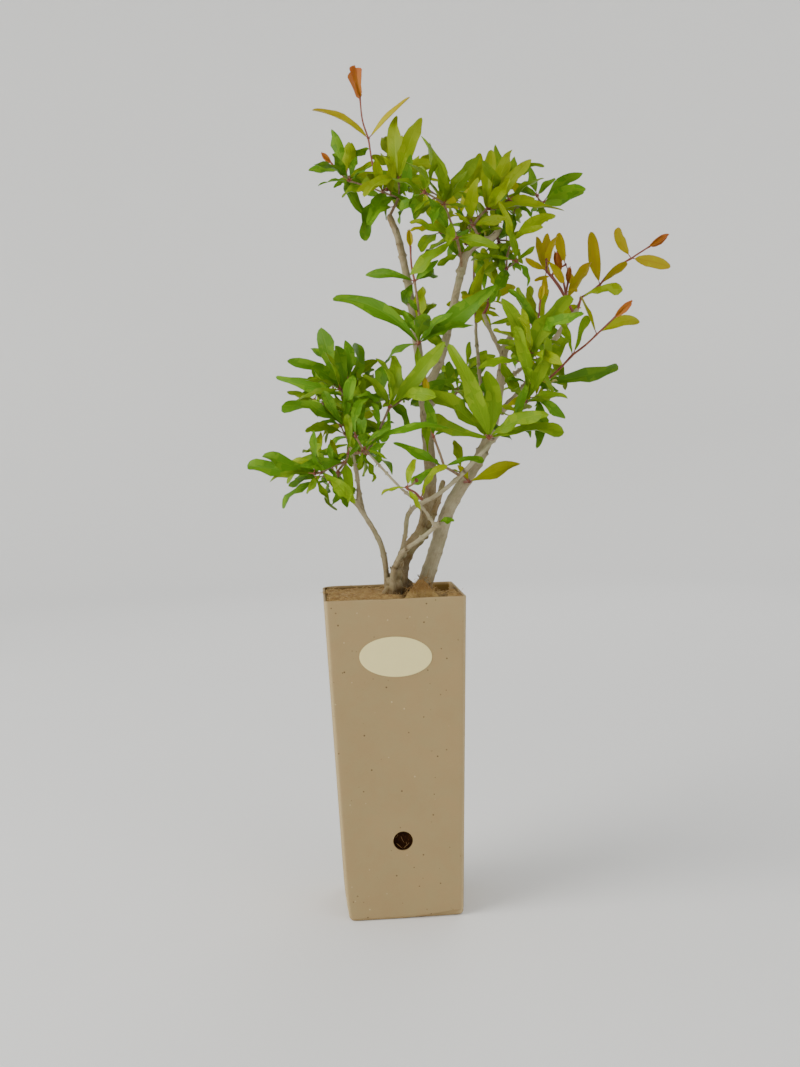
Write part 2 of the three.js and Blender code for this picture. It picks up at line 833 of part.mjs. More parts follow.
// The bare oval label on the front wall, which leans out with the wall.
function labelSolid() {
  const oval = new THREE.CylinderGeometry(1, 1, LABEL_THICKNESS, 40);
  oval.scale(LABEL_WIDTH / 2, 1, LABEL_HEIGHT / 2);
  const wallLean = Math.atan((POT_TOP - POT_FOOT) / 2 / POT_HEIGHT);
  oval.rotateX(wallLean);
  oval.translate(-1, -(potWidth(LABEL_CENTRE) / 2 + GAP + LABEL_THICKNESS / 2), LABEL_CENTRE);
  return toSolid(oval);
}

// A cushion of felt over an outline, with a rounded top.
function feltCushion(outline, top) {
  const middle = new THREE.Vector2();
  outline.forEach(([x, y]) => middle.add(new THREE.Vector2(x, y).divideScalar(outline.length)));
  const ring = (shrink, height) =>
    outline.map(([x, y]) => {
      const inset = new THREE.Vector2(x, y).lerp(middle, shrink);
      return new THREE.Vector3(inset.x, inset.y, height);
    });
  const foot = SOIL_TOP + GAP;
  const shoulder = foot + 0.6 * (top - foot);
  return loft([ring(0, foot), ring(0, shoulder), ring(0.12, top - 0.6), ring(0.4, top)]);
}

const FELT_EDGE = potWidth(SOIL_TOP) / 2 - POT_WALL - 0.5; // how far the felt reaches inside the pot

// The felt that covers the left and the front of the pot's mouth.
const coirMatOutline = [
  [-FELT_EDGE, -FELT_EDGE + 4],
  [-FELT_EDGE + 4, -FELT_EDGE],
  [2, -FELT_EDGE],
  [4, -30],
  [6, -14],
  [15, 0],
  [12, 26],
  [0, FELT_EDGE - 4],
  [-10, FELT_EDGE],
  [-FELT_EDGE + 4, FELT_EDGE],
  [-FELT_EDGE, FELT_EDGE - 4],
];

// The rolled edge of felt against the right wall.
const coirRollOutline = [
  [FELT_EDGE - 7, -FELT_EDGE + 3],
  [FELT_EDGE - 2, -FELT_EDGE + 1],
  [FELT_EDGE, -FELT_EDGE + 5],
  [FELT_EDGE, -8],
  [FELT_EDGE - 4, -4],
  [FELT_EDGE - 7, -12],
];

// The corner of felt that is folded up before the right stem.
function coirFlapSolid() {
  const shape = new THREE.Shape();
  shape.moveTo(-FLAP_WIDTH / 2, 0);
  shape.lineTo(FLAP_WIDTH / 2, 0);
  shape.lineTo(3, FLAP_LENGTH);
  shape.lineTo(-3, FLAP_LENGTH);
  const flap = new THREE.ExtrudeGeometry(shape, { depth: FLAP_THICKNESS, bevelEnabled: false });
  flap.rotateX(radians(FLAP_TILT));
  flap.translate(21, -21, SOIL_TOP + GAP + FLAP_THICKNESS);
  return toSolid(flap);
}

// ---------------------------------------------------------------- putting it together

const COLOURS = {
  cardboard: 0xa58d6a,
  label: 0xccc19c,
  soil: 0x4a3524,
  coir: 0x96733f,
  bark: 0x8f8466,
  darkBark: 0x4d4336,
  green: 0x6b8e0a,
  yellow: 0x8a9400,
  bronze: 0x9a6a1c,
};

function piece(name, solid, colour, roughness = 0.85) {
  const material = new THREE.MeshStandardMaterial({ color: colour, roughness, metalness: 0 });
  const mesh = new THREE.Mesh(toGeometry(wholeBody(solid)), material);
  mesh.name = name;
  return mesh;
}

const limbSpaces = LIMBS.map((limb) => limbSolid(limb, GAP));

const wood = new THREE.Group();
LIMBS.forEach((limb, i) => {
  const cut = limbSpaces.slice(0, i).reduce((solid, space) => solid.subtract(space), limbSolid(limb));
  wood.add(piece(limb.name, cut, limb.name === 'stub_dark' ? COLOURS.darkBark : COLOURS.bark));
});

const obstacles = LIMBS.flatMap((limb) => {
  const run = smoothRun(limb.path.map(vector), 6);
  return limbRadii(limb, run).map((radius, i) => ({ centre: run[i], radius, owner: 'limb' }));
});
const masses = MASSES.map((row) => {
  const limb = LIMBS.find((one) => one.name === row.limb);
  return growTwigs(row, limbRun(limb), obstacles);
});
masses.forEach((mass) => growLeaves(mass));
masses.forEach((mass) => growSpurs(mass));

const foliage = new THREE.Group();
masses.forEach((mass) => {
  const parts = [
    ...mass.twigs.map((twig) => twigSolid(twig)),
    ...mass.knobs.map((place) => knobSolid(place)),
    ...mass.leaves.map((leaf) => leafSolid(leaf)),
  ];
  const fused = parts.reduce((whole, part) => whole.add(part));
  const cut = limbSpaces.reduce((solid, space) => solid.subtract(space), fused);
  const colour = COLOURS[mass.tint ?? 'green'];
  foliage.add(piece(mass.name, cut, colour, 0.5));
});

const stemSpaces = limbSpaces.filter((_, i) => LIMBS[i].stem);
const clearOfStems = (solid) => stemSpaces.reduce((rest, space) => rest.subtract(space), solid);

const pot = new THREE.Group();
pot.add(piece('pot', potSolid(), COLOURS.cardboard));
pot.add(piece('root_ball', rootBallSolid(), COLOURS.soil));
pot.add(piece('label', labelSolid(), COLOURS.label, 0.6));
pot.add(piece('coir_mat', clearOfStems(feltCushion(coirMatOutline, COIR_TOP)), COLOURS.coir));
pot.add(piece('coir_roll', clearOfStems(feltCushion(coirRollOutline, COIR_TOP)), COLOURS.coir));
pot.add(piece('coir_flap', clearOfStems(coirFlapSolid()), COLOURS.coir));

const tree = new THREE.Group();
tree.add(pot, wood, foliage);

export default tree;
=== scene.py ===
"""A young pomegranate tree in a tall cardboard sleeve pot: the finish of every surface.

The pot, the root ball, the felt and the label are modelled over the frame's solids. The stems and
boughs are one skin of bark. The foliage grows by the same seeded rule as the solids, from the same
named places in millimetres, and is then carried on to finer twigs and smaller leaves.
"""
import math
from typing import NamedTuple

import bmesh
import bpy
import numpy as np
from bpy.props import FloatProperty, FloatVectorProperty, IntProperty, PointerProperty
from mathutils import Matrix, Vector, kdtree, noise


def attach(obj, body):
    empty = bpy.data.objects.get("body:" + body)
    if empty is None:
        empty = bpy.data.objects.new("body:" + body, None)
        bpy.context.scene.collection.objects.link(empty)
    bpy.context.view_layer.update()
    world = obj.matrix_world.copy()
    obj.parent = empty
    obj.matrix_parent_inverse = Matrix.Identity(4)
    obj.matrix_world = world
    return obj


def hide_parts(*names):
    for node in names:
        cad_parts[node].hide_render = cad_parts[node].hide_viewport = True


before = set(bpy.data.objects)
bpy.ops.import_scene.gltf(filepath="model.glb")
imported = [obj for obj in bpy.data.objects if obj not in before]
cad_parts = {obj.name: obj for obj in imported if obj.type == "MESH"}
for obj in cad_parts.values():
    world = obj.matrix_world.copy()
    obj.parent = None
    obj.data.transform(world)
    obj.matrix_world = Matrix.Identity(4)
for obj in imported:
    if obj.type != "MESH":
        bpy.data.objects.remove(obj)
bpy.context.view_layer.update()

bl_info = {
    "name": "Potted pomegranate tree",
    "version": (1, 0, 0),
    "blender": (4, 5, 0),
    "location": "3D View > Sidebar > Tree",
    "description": "Finishes a young pomegranate tree in its cardboard pot",
    "category": "Object",
}

MM = 0.001
BODY = "root"

DEAL_SEED = 5
FINE_SEED = 5
FINE_SEED_STEP = 977
KNOB_SEED = 31
BLADE_SEED = 2026
BARK_SEED = 4711

# ---- small helpers


def linear(colour_hex):
    """An sRGB hex colour as linear red, green, blue and a full alpha."""
    parts = [int(colour_hex[i:i + 2], 16) / 255 for i in (0, 2, 4)]
    return [c / 12.92 if c <= 0.04045 else ((c + 0.055) / 1.055) ** 2.4 for c in parts] + [1.0]


def add_node(tree, kind, *values, **named):
    """Adds a node. Values go to its inputs in order, and named ones with a capital by their names; a
    node or output among them is linked. The other names are the node's settings."""
    made = tree.nodes.new(kind)
    inputs = dict(enumerate(values))
    for key, value in named.items():
        if key[0].isupper():
            inputs[key.replace("_", " ")] = value
        else:
            setattr(made, key, value)
    for key, value in inputs.items():
        if isinstance(value, bpy.types.Node):
            value = value.outputs[0]
        if isinstance(value, bpy.types.NodeSocket):
            tree.links.new(value, made.inputs[key])
        elif value is not None:
            made.inputs[key].default_value = value
    return made


class Finish:
    """A material in the making: its nodes, and the tone that the layers laid so far have given.
    Colours are linear, or sRGB hex."""

    def __init__(self, name, tone):
        self.material = bpy.data.materials.new(name)
        self.material.use_nodes = True
        self.material.node_tree.nodes.clear()
        self.place = self.node("TexCoord").outputs["Object"]
        self.tone = linear(tone) if isinstance(tone, str) else tone

    def node(self, kind, *values, **named):
        return add_node(self.material.node_tree, f"ShaderNode{kind}", *values, **named)

    def pattern(self, kind, size, detail=None, roughness=None, place=None):
        """A texture of any kind, whose pattern repeats about every so many millimetres."""
        place = self.place if place is None else place
        scale = 1 / (size * MM)
        return self.node(f"Tex{kind}", Vector=place, Scale=scale, Detail=detail, Roughness=roughness)

    def past(self, axis, low, high):
        """The part that says how far a place is from one millimetre mark to the next."""
        along = self.node("SeparateXYZ", self.place).outputs["XYZ".index(axis)]
        return along, low * MM, high * MM

    def share(self, *parts):
        """The product of some parts. Each is a number, a node, an output, or a node or output with
        the range that it is read in, then if need be the range that this is carried to."""
        product = None
        for part in parts:
            if isinstance(part, tuple):
                part = self.node("MapRange", *part)
            if product is not None:
                part = self.node("Math", product, part, operation="MULTIPLY")
            product = part
        return product

    def lay(self, colour, *parts):
        """Lays a colour over the tone by a share."""
        colour = linear(colour) if isinstance(colour, str) else colour
        share = self.share(*parts)
        mix = self.node("Mix", share, *MIX_SKIPPED, self.tone, colour, data_type="RGBA")
        self.tone = mix.outputs[2]

    def done(self, roughness, specular=0.5, height=None, depth=0.0, strength=0.0):
        """The material with its tone, its gloss and a relief of so many millimetres."""
        relief = height and self.node("Bump", Strength=strength, Distance=depth * MM, Height=height)
        shader = self.node(
            "BsdfPrincipled", Base_Color=self.tone, Roughness=roughness, Specular_IOR_Level=specular,
            Normal=relief,
        )
        self.node("OutputMaterial", shader)
        return self.material


MIX_SKIPPED = [None] * 5  # inputs of a Mix node that a mix of colours doesn't use


def in_scene(name, data):
    """A new object in the scene, at the origin, with this mesh, light or camera."""
    made = bpy.data.objects.new(name, data)
    bpy.context.scene.collection.objects.link(made)
    return made


def mesh_object(name, corners_mm, faces, materials=()):
    """A piece from corners in millimetres, with smooth faces."""
    mesh = bpy.data.meshes.new(name)
    mesh.from_pydata((np.asarray(corners_mm) * MM).tolist(), [], faces)
    mesh.update()
    mesh.shade_smooth()
    for material in materials:
        mesh.materials.append(material)
    return in_scene(name, mesh)


def shape_object(name, shape):
    """A piece from a bmesh, which is used up."""
    mesh = bpy.data.meshes.new(name)
    shape.to_mesh(mesh)
    shape.free()
    return in_scene(name, mesh)


def move_corners(mesh, corners_mm):
    mesh.vertices.foreach_set("co", (corners_mm * MM).ravel())
    mesh.update()


def note(mesh, name, values, kind="FLOAT"):
    """Keeps a value for each corner of a mesh, for its material or its nodes to read."""
    key = "vector" if kind == "FLOAT_VECTOR" else "value"
    mesh.attributes.new(name, kind, "POINT").data.foreach_set(key, np.ravel(values))


def one_skin(piece, voxel, rounds=0):
    """Fuses the closed parts of a piece into one skin, and softens it."""
    weld = piece.modifiers.new("One skin", "REMESH")
    weld.mode = "VOXEL"
    weld.voxel_size = voxel * MM
    if rounds:
        soften = piece.modifiers.new("Soften", "SMOOTH")
        soften.iterations = rounds
    make_plain(piece)


def make_plain(piece):
    """Turns what a piece's modifiers give into its own mesh, and drops them."""
    graph = bpy.context.evaluated_depsgraph_get()
    shown = piece.evaluated_get(graph)
    mesh = bpy.data.meshes.new_from_object(shown, preserve_all_data_layers=True, depsgraph=graph)
    piece.modifiers.clear()
    unused = piece.data
    piece.data = mesh
    bpy.data.meshes.remove(unused)
    mesh.name = piece.name


def node_group(name, sockets):
    """An empty tree of geometry nodes with these inputs, what they give, and their identifiers."""
    tree = bpy.data.node_groups.new(name, "GeometryNodeTree")
    keys = {}
    for title, kind, value in (("Geometry", "Geometry", None), *sockets):
        socket = tree.interface.new_socket(title, in_out="INPUT", socket_type=f"NodeSocket{kind}")
        keys[title] = socket.identifier
        if value is not None:
            socket.default_value = value
    tree.interface.new_socket("Geometry", in_out="OUTPUT", socket_type="NodeSocketGeometry")
    return tree, add_node(tree, "NodeGroupInput").outputs, keys


def run_nodes(piece, tree, keys, last, material, values):
    """Ends a tree of geometry nodes in real faces of one material, and runs a piece through it."""
    real = add_node(tree, "GeometryNodeRealizeInstances", last)
    painted = add_node(tree, "GeometryNodeSetMaterial", real, Material=material)
    add_node(tree, "NodeGroupOutput", painted)
    modifier = piece.modifiers.new("Nodes", "NODES")
    modifier.node_group = tree
    for title, value in values.items():
        modifier[keys[title]] = value
    make_plain(piece)


def read_rows(items, key):
    """One vector of each item of a mesh, as the rows of an array."""
    values = np.empty(len(items) * 3)
    items.foreach_get(key, values)
    return values.reshape(-1, 3)


def set_sharp(piece, degrees):
    piece.data.shade_smooth()
    piece.data.set_sharp_from_angle(angle=math.radians(degrees))


def hand_over(piece, slot_name, *nodes):
    """Puts a finished piece on the plant's body, in place of these nodes."""
    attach(piece, BODY)
    if nodes:
        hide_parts(*nodes)


def faces_between(count, levels):
    """Faces between rings of so many corners, level by level."""
    return [
        (low + i, low + (i + 1) % count, low + count + (i + 1) % count, low + count + i)
        for low in range(0, levels * count, count)
        for i in range(count)
    ]


def loft(rings):
    """Corners and faces of a closed skin through rings of corners, each with the same number."""
    count = len(rings[0])
    corners = [corner for ring in rings for corner in ring]
    faces = faces_between(count, len(rings) - 1)
    faces.append(tuple(reversed(range(count))))
    faces.append(tuple(range(len(corners) - count, len(corners))))
    return corners, faces


def seeded(seed):
    """Numbers that look random and are the same each time, as a function of a low and a high end."""
    mask = 0xFFFFFFFF
    state = seed & mask

    def draw(low, high):
        nonlocal state
        state = (state + 0x6D2B79F5) & mask
        mix = ((state ^ (state >> 15)) * (state | 1)) & mask
        mix = ((mix + (((mix ^ (mix >> 7)) * (mix | 61)) & mask)) & mask) ^ mix
        return low + ((high - low) * (mix ^ (mix >> 14))) / 2**32

    return draw


def smooth_run(points, steps):
    """A smooth run through the points, with the same number of steps between each two."""
    points = [np.asarray(point, float) for point in points]
    last = len(points) - 1
    run = []
    for span in range(last):
        start, end = points[span], points[span + 1]
        before = points[span - 1] if span > 0 else start * 2 - end
        after = points[span + 2] if span + 1 < last else end * 2 - start
        for step in range(steps):
            t = step / steps
            run.append(
                before * (0.5 * (-t + 2 * t * t - t * t * t))
                + start * (0.5 * (2 - 5 * t * t + 3 * t * t * t))
                + end * (0.5 * (t + 4 * t * t - 3 * t * t * t))
                + after * (0.5 * (-t * t + t * t * t))
            )
    run.append(points[last].copy())
    return run


def unit(vector):
    return vector / math.sqrt(float(vector @ vector))


def tube(run, radii, sides):
    """Rings round a run, with a radius for each of its points."""
    side = np.array([1, 0.3, 0.2])
    rings = []
    for i, centre in enumerate(run):
        tangent = unit(run[min(i + 1, len(run) - 1)] - run[max(i - 1, 0)])
        side = unit(side - tangent * (side @ tangent))
        other = np.cross(tangent, side)
        turns = [2 * math.pi * k / sides for k in range(sides)]
        rings.append([
            centre + (side * math.cos(a) + other * math.sin(a)) * radii[i] for a in turns
        ])
    return rings


# ---- the plant's named places


class Limb(NamedTuple):
    """A stem or bough: its radius at foot and tip and its path. Then, at foot and tip, how pale its
    bark is, from 0 for dark brown to 1 for pale grey, and how slim beside its solid, and last the
    slant of its end, if it was cut."""

    name: str
    foot: float
    tip: float
    path: tuple
    tones: tuple = (0.62, 0.62)
    slimness: tuple = (0.92, 0.92)
    cut: float | None = None

    @property
    def is_stem(self):
        return self.name.startswith("stem_")


LIMBS = (
    Limb("stem_middle", 5.8, 4.1, (
        (8, 4, 222.3), (8, 3, 246), (14, 3, 261), (26, 4, 277), (32, 6, 312), (31, 8, 349),
        (29, 8, 382),
    ), tones=(0.1, 0.5), slimness=(1.0, 0.92)),
    Limb("stem_right", 6, 3, (
        (22, 14, 222.3), (35, 14, 258), (47, 12, 292), (68, 8, 325), (80, 8, 351), (87, 10, 384),
        (91, 12, 406), (96, 13, 415),
    ), tones=(1.0, 0.35), slimness=(0.92, 0.92), cut=0.9),
    Limb("stem_front", 2.9, 1.8, (
        (1, -16, 222.3), (1, -18, 245), (7, -22, 260), (19, -30, 270), (31, -38, 280),
    ), tones=(0.2, 1.1), slimness=(0.88, 0.85)),
    Limb("stem_left", 2.9, 2, (
        (-2, -3, 222.3), (-5, -12, 259), (-12, -20, 278), (-24, -28, 298),
    ), tones=(0.5, 0.6), slimness=(0.8, 0.78)),
    Limb("stem_slender", 2.3, 1.6, (
        (11, -8, 222.3), (7, -8, 250), (11, -12, 273), (15, -18, 291), (34, -26, 302),
        (50, -32, 315), (74, -40, 340), (81, -42, 346),
    ), tones=(0.25, 1.25), slimness=(0.72, 0.95)),
    Limb("stub_dark", 2.7, 2.1, (
        (26, 3, 270), (30, -6, 281), (35, -14, 296), (39, -20, 311),
    ), tones=(0.12, 0.3)),
    Limb("bough_left_inner", 1.6, 1.2, (
        (-23, -27, 296), (-22, -26, 314), (-24, -25, 328), (-26, -26, 338),
    ), tones=(0.6, 0.7)),
    Limb("bough_left_outer", 1.7, 1.2, (
        (-23, -27, 297), (-30, -33, 305), (-38, -38, 313), (-31, -40, 325),
    ), tones=(0.6, 0.5)),
    Limb("bough_left_back", 1.6, 1.2, (
        (-19, -25, 290), (-23, 6, 322), (-27, 30, 348),
    )),
    Limb("bough_middle_left", 3.6, 2.7, (
        (29, 8, 379), (26, 10, 413), (21, 12, 455), (15, 12, 488), (9, 12, 505),
    ), tones=(0.95, 0.3)),
    Limb("bough_middle_right", 3.4, 2.7, (
        (30, 8, 376), (42, 2, 399), (50, -6, 430), (58, -12, 463),
    ), tones=(0.66, 0.66)),
    Limb("bough_middle_back", 2, 1.5, (
        (31, 8, 362), (41, 34, 370), (50, 52, 372),
    )),
    Limb("bough_top_cut", 3.2, 2.8, (
        (57, -12, 460), (65, -6, 477), (82, 2, 486), (89, 6, 493),
    ), tones=(0.6, 0.7), cut=0.25),
    Limb("bough_right_long", 2.9, 1.9, (
        (86, 9, 360), (106, 22, 378), (125, 34, 403), (145, 42, 429), (153, 44, 437),
    ), cut=0.2),
    Limb("bough_right_inner", 1.9, 1.4, (
        (90, 11, 400), (82, 16, 419), (77, 20, 433),
    )),
    Limb("bough_right_short", 2, 1.5, (
        (92, 12, 406), (103, -2, 414), (111, -8, 420),
    )),
    Limb("bough_right_back", 2, 1.5, (
        (86, 10, 379), (102, 44, 389), (116, 68, 397),
    )),
    Limb("bough_centre", 1.7, 1.3, (
        (78, 8, 344), (75, 24, 370), (73, 34, 415), (73, 34, 428),
    )),
    Limb("bough_front", 1.5, 0.9, (
        (31, -38, 280), (20, -44, 296), (6, -48, 309), (-15, -50, 333),
    ), tones=(0.8, 0.85)),
)

LIMB = -1


class Node(NamedTuple):
    """A node of a mass: the earlier node it grows from, its place, the (heading, length) of its
    leaves, how many leaves its spur has, its young or full-grown tint, and a bud's length."""

    origin: int
    at: tuple
    leaves: tuple = ()
    spur: int = 0
    tint: str = "green"
    bud: float = 0


def bud(origin, at, length):
    return Node(origin, at, tint="red", bud=length)


class Mass(NamedTuple):
    """A mass of foliage: the limb it grows from and its nodes. Then how many of its full-grown leaves
    are pointed, the side to which its leaves are seen almost edge-on and how slim these look, and its
    marks: open where the sky shows through, young where all is a new shoot, sunny where green is dealt
    lighter and yellower greens as painted light on the top of the crown, olive where buds aren't red."""

    name: str
    limb: str
    nodes: tuple
    pointed: float = 0.22
    turned: tuple = (0, 1)
    marks: str = ""


MASSES = (
    Mass("leaves_top_left", "bough_middle_left", (
        Node(LIMB, (16, 10, 518)),
        Node(0, (16, 6, 530), ((1, 47), (23, 44), (-103, 32), (112, 22), (-21, 28), (93, 28)), 3),
        Node(0, (5, 16, 523), ((-157, 37), (27, 18)), 3),
        Node(2, (-19, 22, 533), ((-34, 22), (-70, 15), (-94, 23), (19, 20)), 2),
        Node(2, (-4, 20, 563), ((-59, 45), (50, 41)), tint="bronze"),
        bud(4, (-9, 24, 593), 26),
        bud(3, (-32, 24, 547), 12),
    ), pointed=0.75, marks="sunny"),
    Mass("leaves_top_middle", "bough_middle_right", (
        Node(LIMB, (53, -30, 482), ((-125, 40), (-74, 28), (87, 19), (-112, 21)), 3),
        Node(0, (44, -38, 504), (
            (-12, 50), (38, 39), (3, 29), (-47, 37), (-103, 22), (39, 24), (93, 18),
        ), 4),
    ), pointed=0.75, marks="sunny"),
    Mass("leaves_top_right", "bough_top_cut", (
        Node(LIMB, (69, 2, 495), ((-55, 16), (132, 13)), 3),
        Node(0, (80, 10, 508), (
            (22, 53), (43, 45), (91, 55), (0, 40), (72, 39), (14, 37), (-30, 25),
        ), 5),
        Node(1, (126, 32, 516), ((55, 34), (74, 33))),
    ), pointed=0.7, marks="sunny"),
    Mass("leaves_upper_right", "bough_right_inner", (
        Node(LIMB, (81, 18, 443), ((62, 25), (-80, 20), (151, 10)), 1, tint="yellow"),
        Node(0, (94, 12, 465), ((60, 10), (-20, 10))),
        Node(1, (97, 6, 483), ((60, 41), (64, 25), (-19, 28), (144, 18), (-124, 10), (35, 12)), 3),
    ), pointed=0.5, marks="sunny"),
    Mass("leaves_red", "bough_right_long", (
        Node(LIMB, (144, 42, 444), ((44, 11), (30, 29), (92, 25)), 1, tint="bronze"),
        Node(0, (127, 30, 465), (
            (-11, 27), (13, 23), (-57, 19), (-178, 19), (14, 30),
        ), 2, tint="orange"),
        bud(0, (139, 38, 465), 18),
        bud(0, (146, 44, 458), 14),
        Node(0, (139, 74, 467), ((-21, 25), (37, 19), (-102, 14)), 3, tint="bronze"),
    ), marks="young"),
    Mass("leaves_shoot_upper", "bough_right_long", (
        Node(LIMB, (156, 46, 446), ((80, 31), (-154, 17)), tint="yellow"),
        Node(0, (172, 50, 456), ((-8, 40), (52, 24)), tint="bronze"),
        Node(1, (198, 54, 476), ((-25, 26), (99, 34)), tint="bronze"),
        bud(2, (213, 56, 485), 20),
    ), marks="open young"),
    Mass("leaves_right", "stem_slender", (
        Node(LIMB, (87, -42, 350)),
        Node(0, (96, -42, 365), ((-6, 51), (-29, 32), (40, 58), (69, 24), (16, 42)), 3),
        Node(1, (101, -36, 392), ((29, 52), (-21, 47)), 1),
        Node(2, (106, -34, 416), ((-35, 34),)),
        bud(3, (111, -30, 437), 14),
    ), pointed=0.45, marks="sunny olive"),
    Mass("leaves_shoot_lower", "bough_right_long", (
        Node(LIMB, (119, 4, 381), ((73, 63),)),
        Node(0, (137, -10, 399), ((-10, 26), (14, 28))),
        Node(1, (154, -16, 413), ((75, 35), (-20, 31)), tint="bronze"),
        bud(2, (167, -20, 425), 18),
    ), marks="open young"),
    Mass("leaves_centre_right", "stem_slender", (
        Node(LIMB, (69, -50, 341), (
            (3, 46), (-24, 66), (-50, 51), (-23, 46), (83, 50), (100, 34), (65, 40), (-71, 43),
        ), 2),
    ), pointed=0.2, marks="open"),
    Mass("leaves_centre_left", "bough_middle_left", (
        Node(LIMB, (25, -14, 410), ((-53, 73), (54, 67), (72, 38), (48, 27)), 2),
        Node(0, (24, -10, 455), ((-69, 37), (52, 21))),
        bud(1, (22, -8, 480), 14),
    ), pointed=0.7, turned=(-1, 0.64), marks="olive"),
    Mass("leaves_centre_low", "stem_slender", (
        Node(LIMB, (38, -42, 322), ((-53, 37), (82, 27), (-109, 26)), 1),
        Node(0, (31, -44, 343), ((47, 13), (-16, 27))),
        bud(1, (27, -46, 373), 14),
    ), marks="open olive"),
    Mass("leaves_right_low", "stem_right", (
        Node(LIMB, (59, -12, 310), ((70, 37), (-35, 15)), 2, tint="yellow"),
    ), marks="open"),
    Mass("leaves_front_low", "bough_front", (
        Node(LIMB, (20, -54, 301), ((26, 27), (-19, 19), (40, 12)), 2, tint="yellow"),
        Node(0, (10, -56, 309), ((-101, 18),), 1),
    ), marks="open"),
    Mass("leaves_left_inner", "bough_front", (
        Node(LIMB, (-19, -54, 336), ((72, 61), (117, 18), (-169, 14), (54, 25)), 1),
    ), turned=(1, 0.5), marks="open"),
    Mass("leaves_left_upper", "bough_left_inner", (
        Node(LIMB, (-26, -26, 340), ((-114, 54), (82, 17)), 2),
        Node(0, (-29, -28, 351), ((-63, 47), (-23, 29), (8, 33), (91, 32)), 3),
        Node(1, (-29, -20, 374), (
            (-17, 49), (-29, 46), (-59, 46), (-72, 53), (-7, 36), (20, 43),
        ), 4),
    ), turned=(-1, 0.84)),
    Mass("leaves_left_middle", "bough_left_inner", (
        Node(LIMB, (-16, -36, 333), ((64, 15),)),
        Node(0, (1, -36, 364), ((5, 40), (-31, 28), (44, 58), (132, 6), (-8, 34)), 2),
        Node(1, (15, -30, 375), ((73, 34),)),
    )),
    Mass("leaves_left_lower", "bough_left_outer", (
        Node(LIMB, (-31, -42, 328), ((-88, 31), (-68, 20)), 2),
        Node(0, (-48, -46, 321), ((-85, 51), (-69, 39), (-99, 22), (-147, 18)), 2),
        Node(0, (-42, -40, 315), ((-111, 42),), 1),
    ), turned=(-1, 0.86)),
    Mass("leaves_back_left", "bough_left_back", (
        Node(LIMB, (-28, 40, 355), ((-119, 22), (106, 21)), 3),
        Node(0, (-45, 58, 372), ((-84, 20), (-10, 30)), 4),
        Node(0, (-20, 66, 384), ((41, 22), (-20, 25), (77, 24)), 4),
    )),
    Mass("leaves_back_centre", "bough_middle_back", (
        Node(LIMB, (54, 60, 372), ((-29, 15), (118, 16)), 4),
        Node(0, (67, 80, 385), ((-144, 18), (168, 10)), 4),
    )),
    Mass("leaves_back_right", "bough_right_back", (
        Node(LIMB, (121, 78, 400), ((-21, 20), (87, 18)), 4),
        Node(0, (137, 96, 422), ((25, 20), (123, 15), (-22, 20)), 4),
    )),
    Mass("leaves_back_top", "bough_centre", (
        Node(LIMB, (73, 36, 436), ((73, 16), (-36, 19)), 1, tint="yellow"),
        Node(0, (77, 60, 488), ((43, 16), (-30, 18)), 2),
        Node(1, (67, 74, 522), ((-47, 19), (-4, 23)), 4),
        Node(1, (101, 80, 529), ((44, 21), (-23, 19), (96, 19)), 4),
        Node(2, (31, 62, 542), ((-34, 18), (19, 21), (-105, 16)), 3),
    ), pointed=0.6, marks="sunny"),
)

ROOT_FLARE = 0.3
FLARE_HEIGHT = 9
SOIL_TOP = 222

TWIG_RADIUS = 1.15
TWIG_RADIUS_LEAST = 0.7
TWIG_TAPER = 0.86
TWIG_BOW = 0.06
LEAF_WIDTH = 0.15
LEAF_WIDTH_BASE = 4.4
LEAF_WIDTH_RANGE = (0.78, 1.12)
LEAF_ARCHES = (0.02, 0.1)
LEAF_FOLDS = (0.1, 0.5)
CROWN_MIDDLE = 24
BUD_SINK = 1.6
WHORL_TURN = 137.5
LEAF_LEANS = (14, -14, 28, -28, 5, -5, 40, -40)
SPUR_LEANS = (40, -40, 60, -60, 20, -20)
LEAF_BALL_SHARES = (0.2, 0.32, 0.44, 0.56, 0.68, 0.8, 0.91, 1)
LEAF_BALL_RADIUS = 0.4
SPUR_BALLS_FROM = 2


class Margins(NamedTuple):
    """How much air a growing piece keeps from limbs, other masses, its own leaves and twigs."""

    limbs: float
    others: float
    leaves: float
    twigs: float


MAIN_GROWTH = Margins(3, 5, 1.8, 1)
FINE_GROWTH = Margins(1.2, 1.6, 0.7, 0.5)


class Spurs(NamedTuple):
    """Short twigs towards the front or the back, each with a whorl of leaves: how far they turn,
    how much more than SPUR_LEANS they lean, and the sizes that they are drawn from."""

    turn: float
    tilt: float
    lengths: tuple
    radius: float
    leaf_lengths: tuple


MAIN_SPURS = Spurs(70, 1, (10.4, 16.9), 0.8, (20, 34))
FINE_SPURS = Spurs(110, 1.2, (6, 13), 0.6, (17, 35))
DRAWN_SPUR_LEAVES = (3, 5.5)

WIDEST_MARGIN = 12  # past the widest limb and margin together
FINE_LONGEST = 40
FINE_LOW = np.array([-98, -76, 240])
FINE_HIGH = np.array([229, 103, 600])

# ---- the growing rule


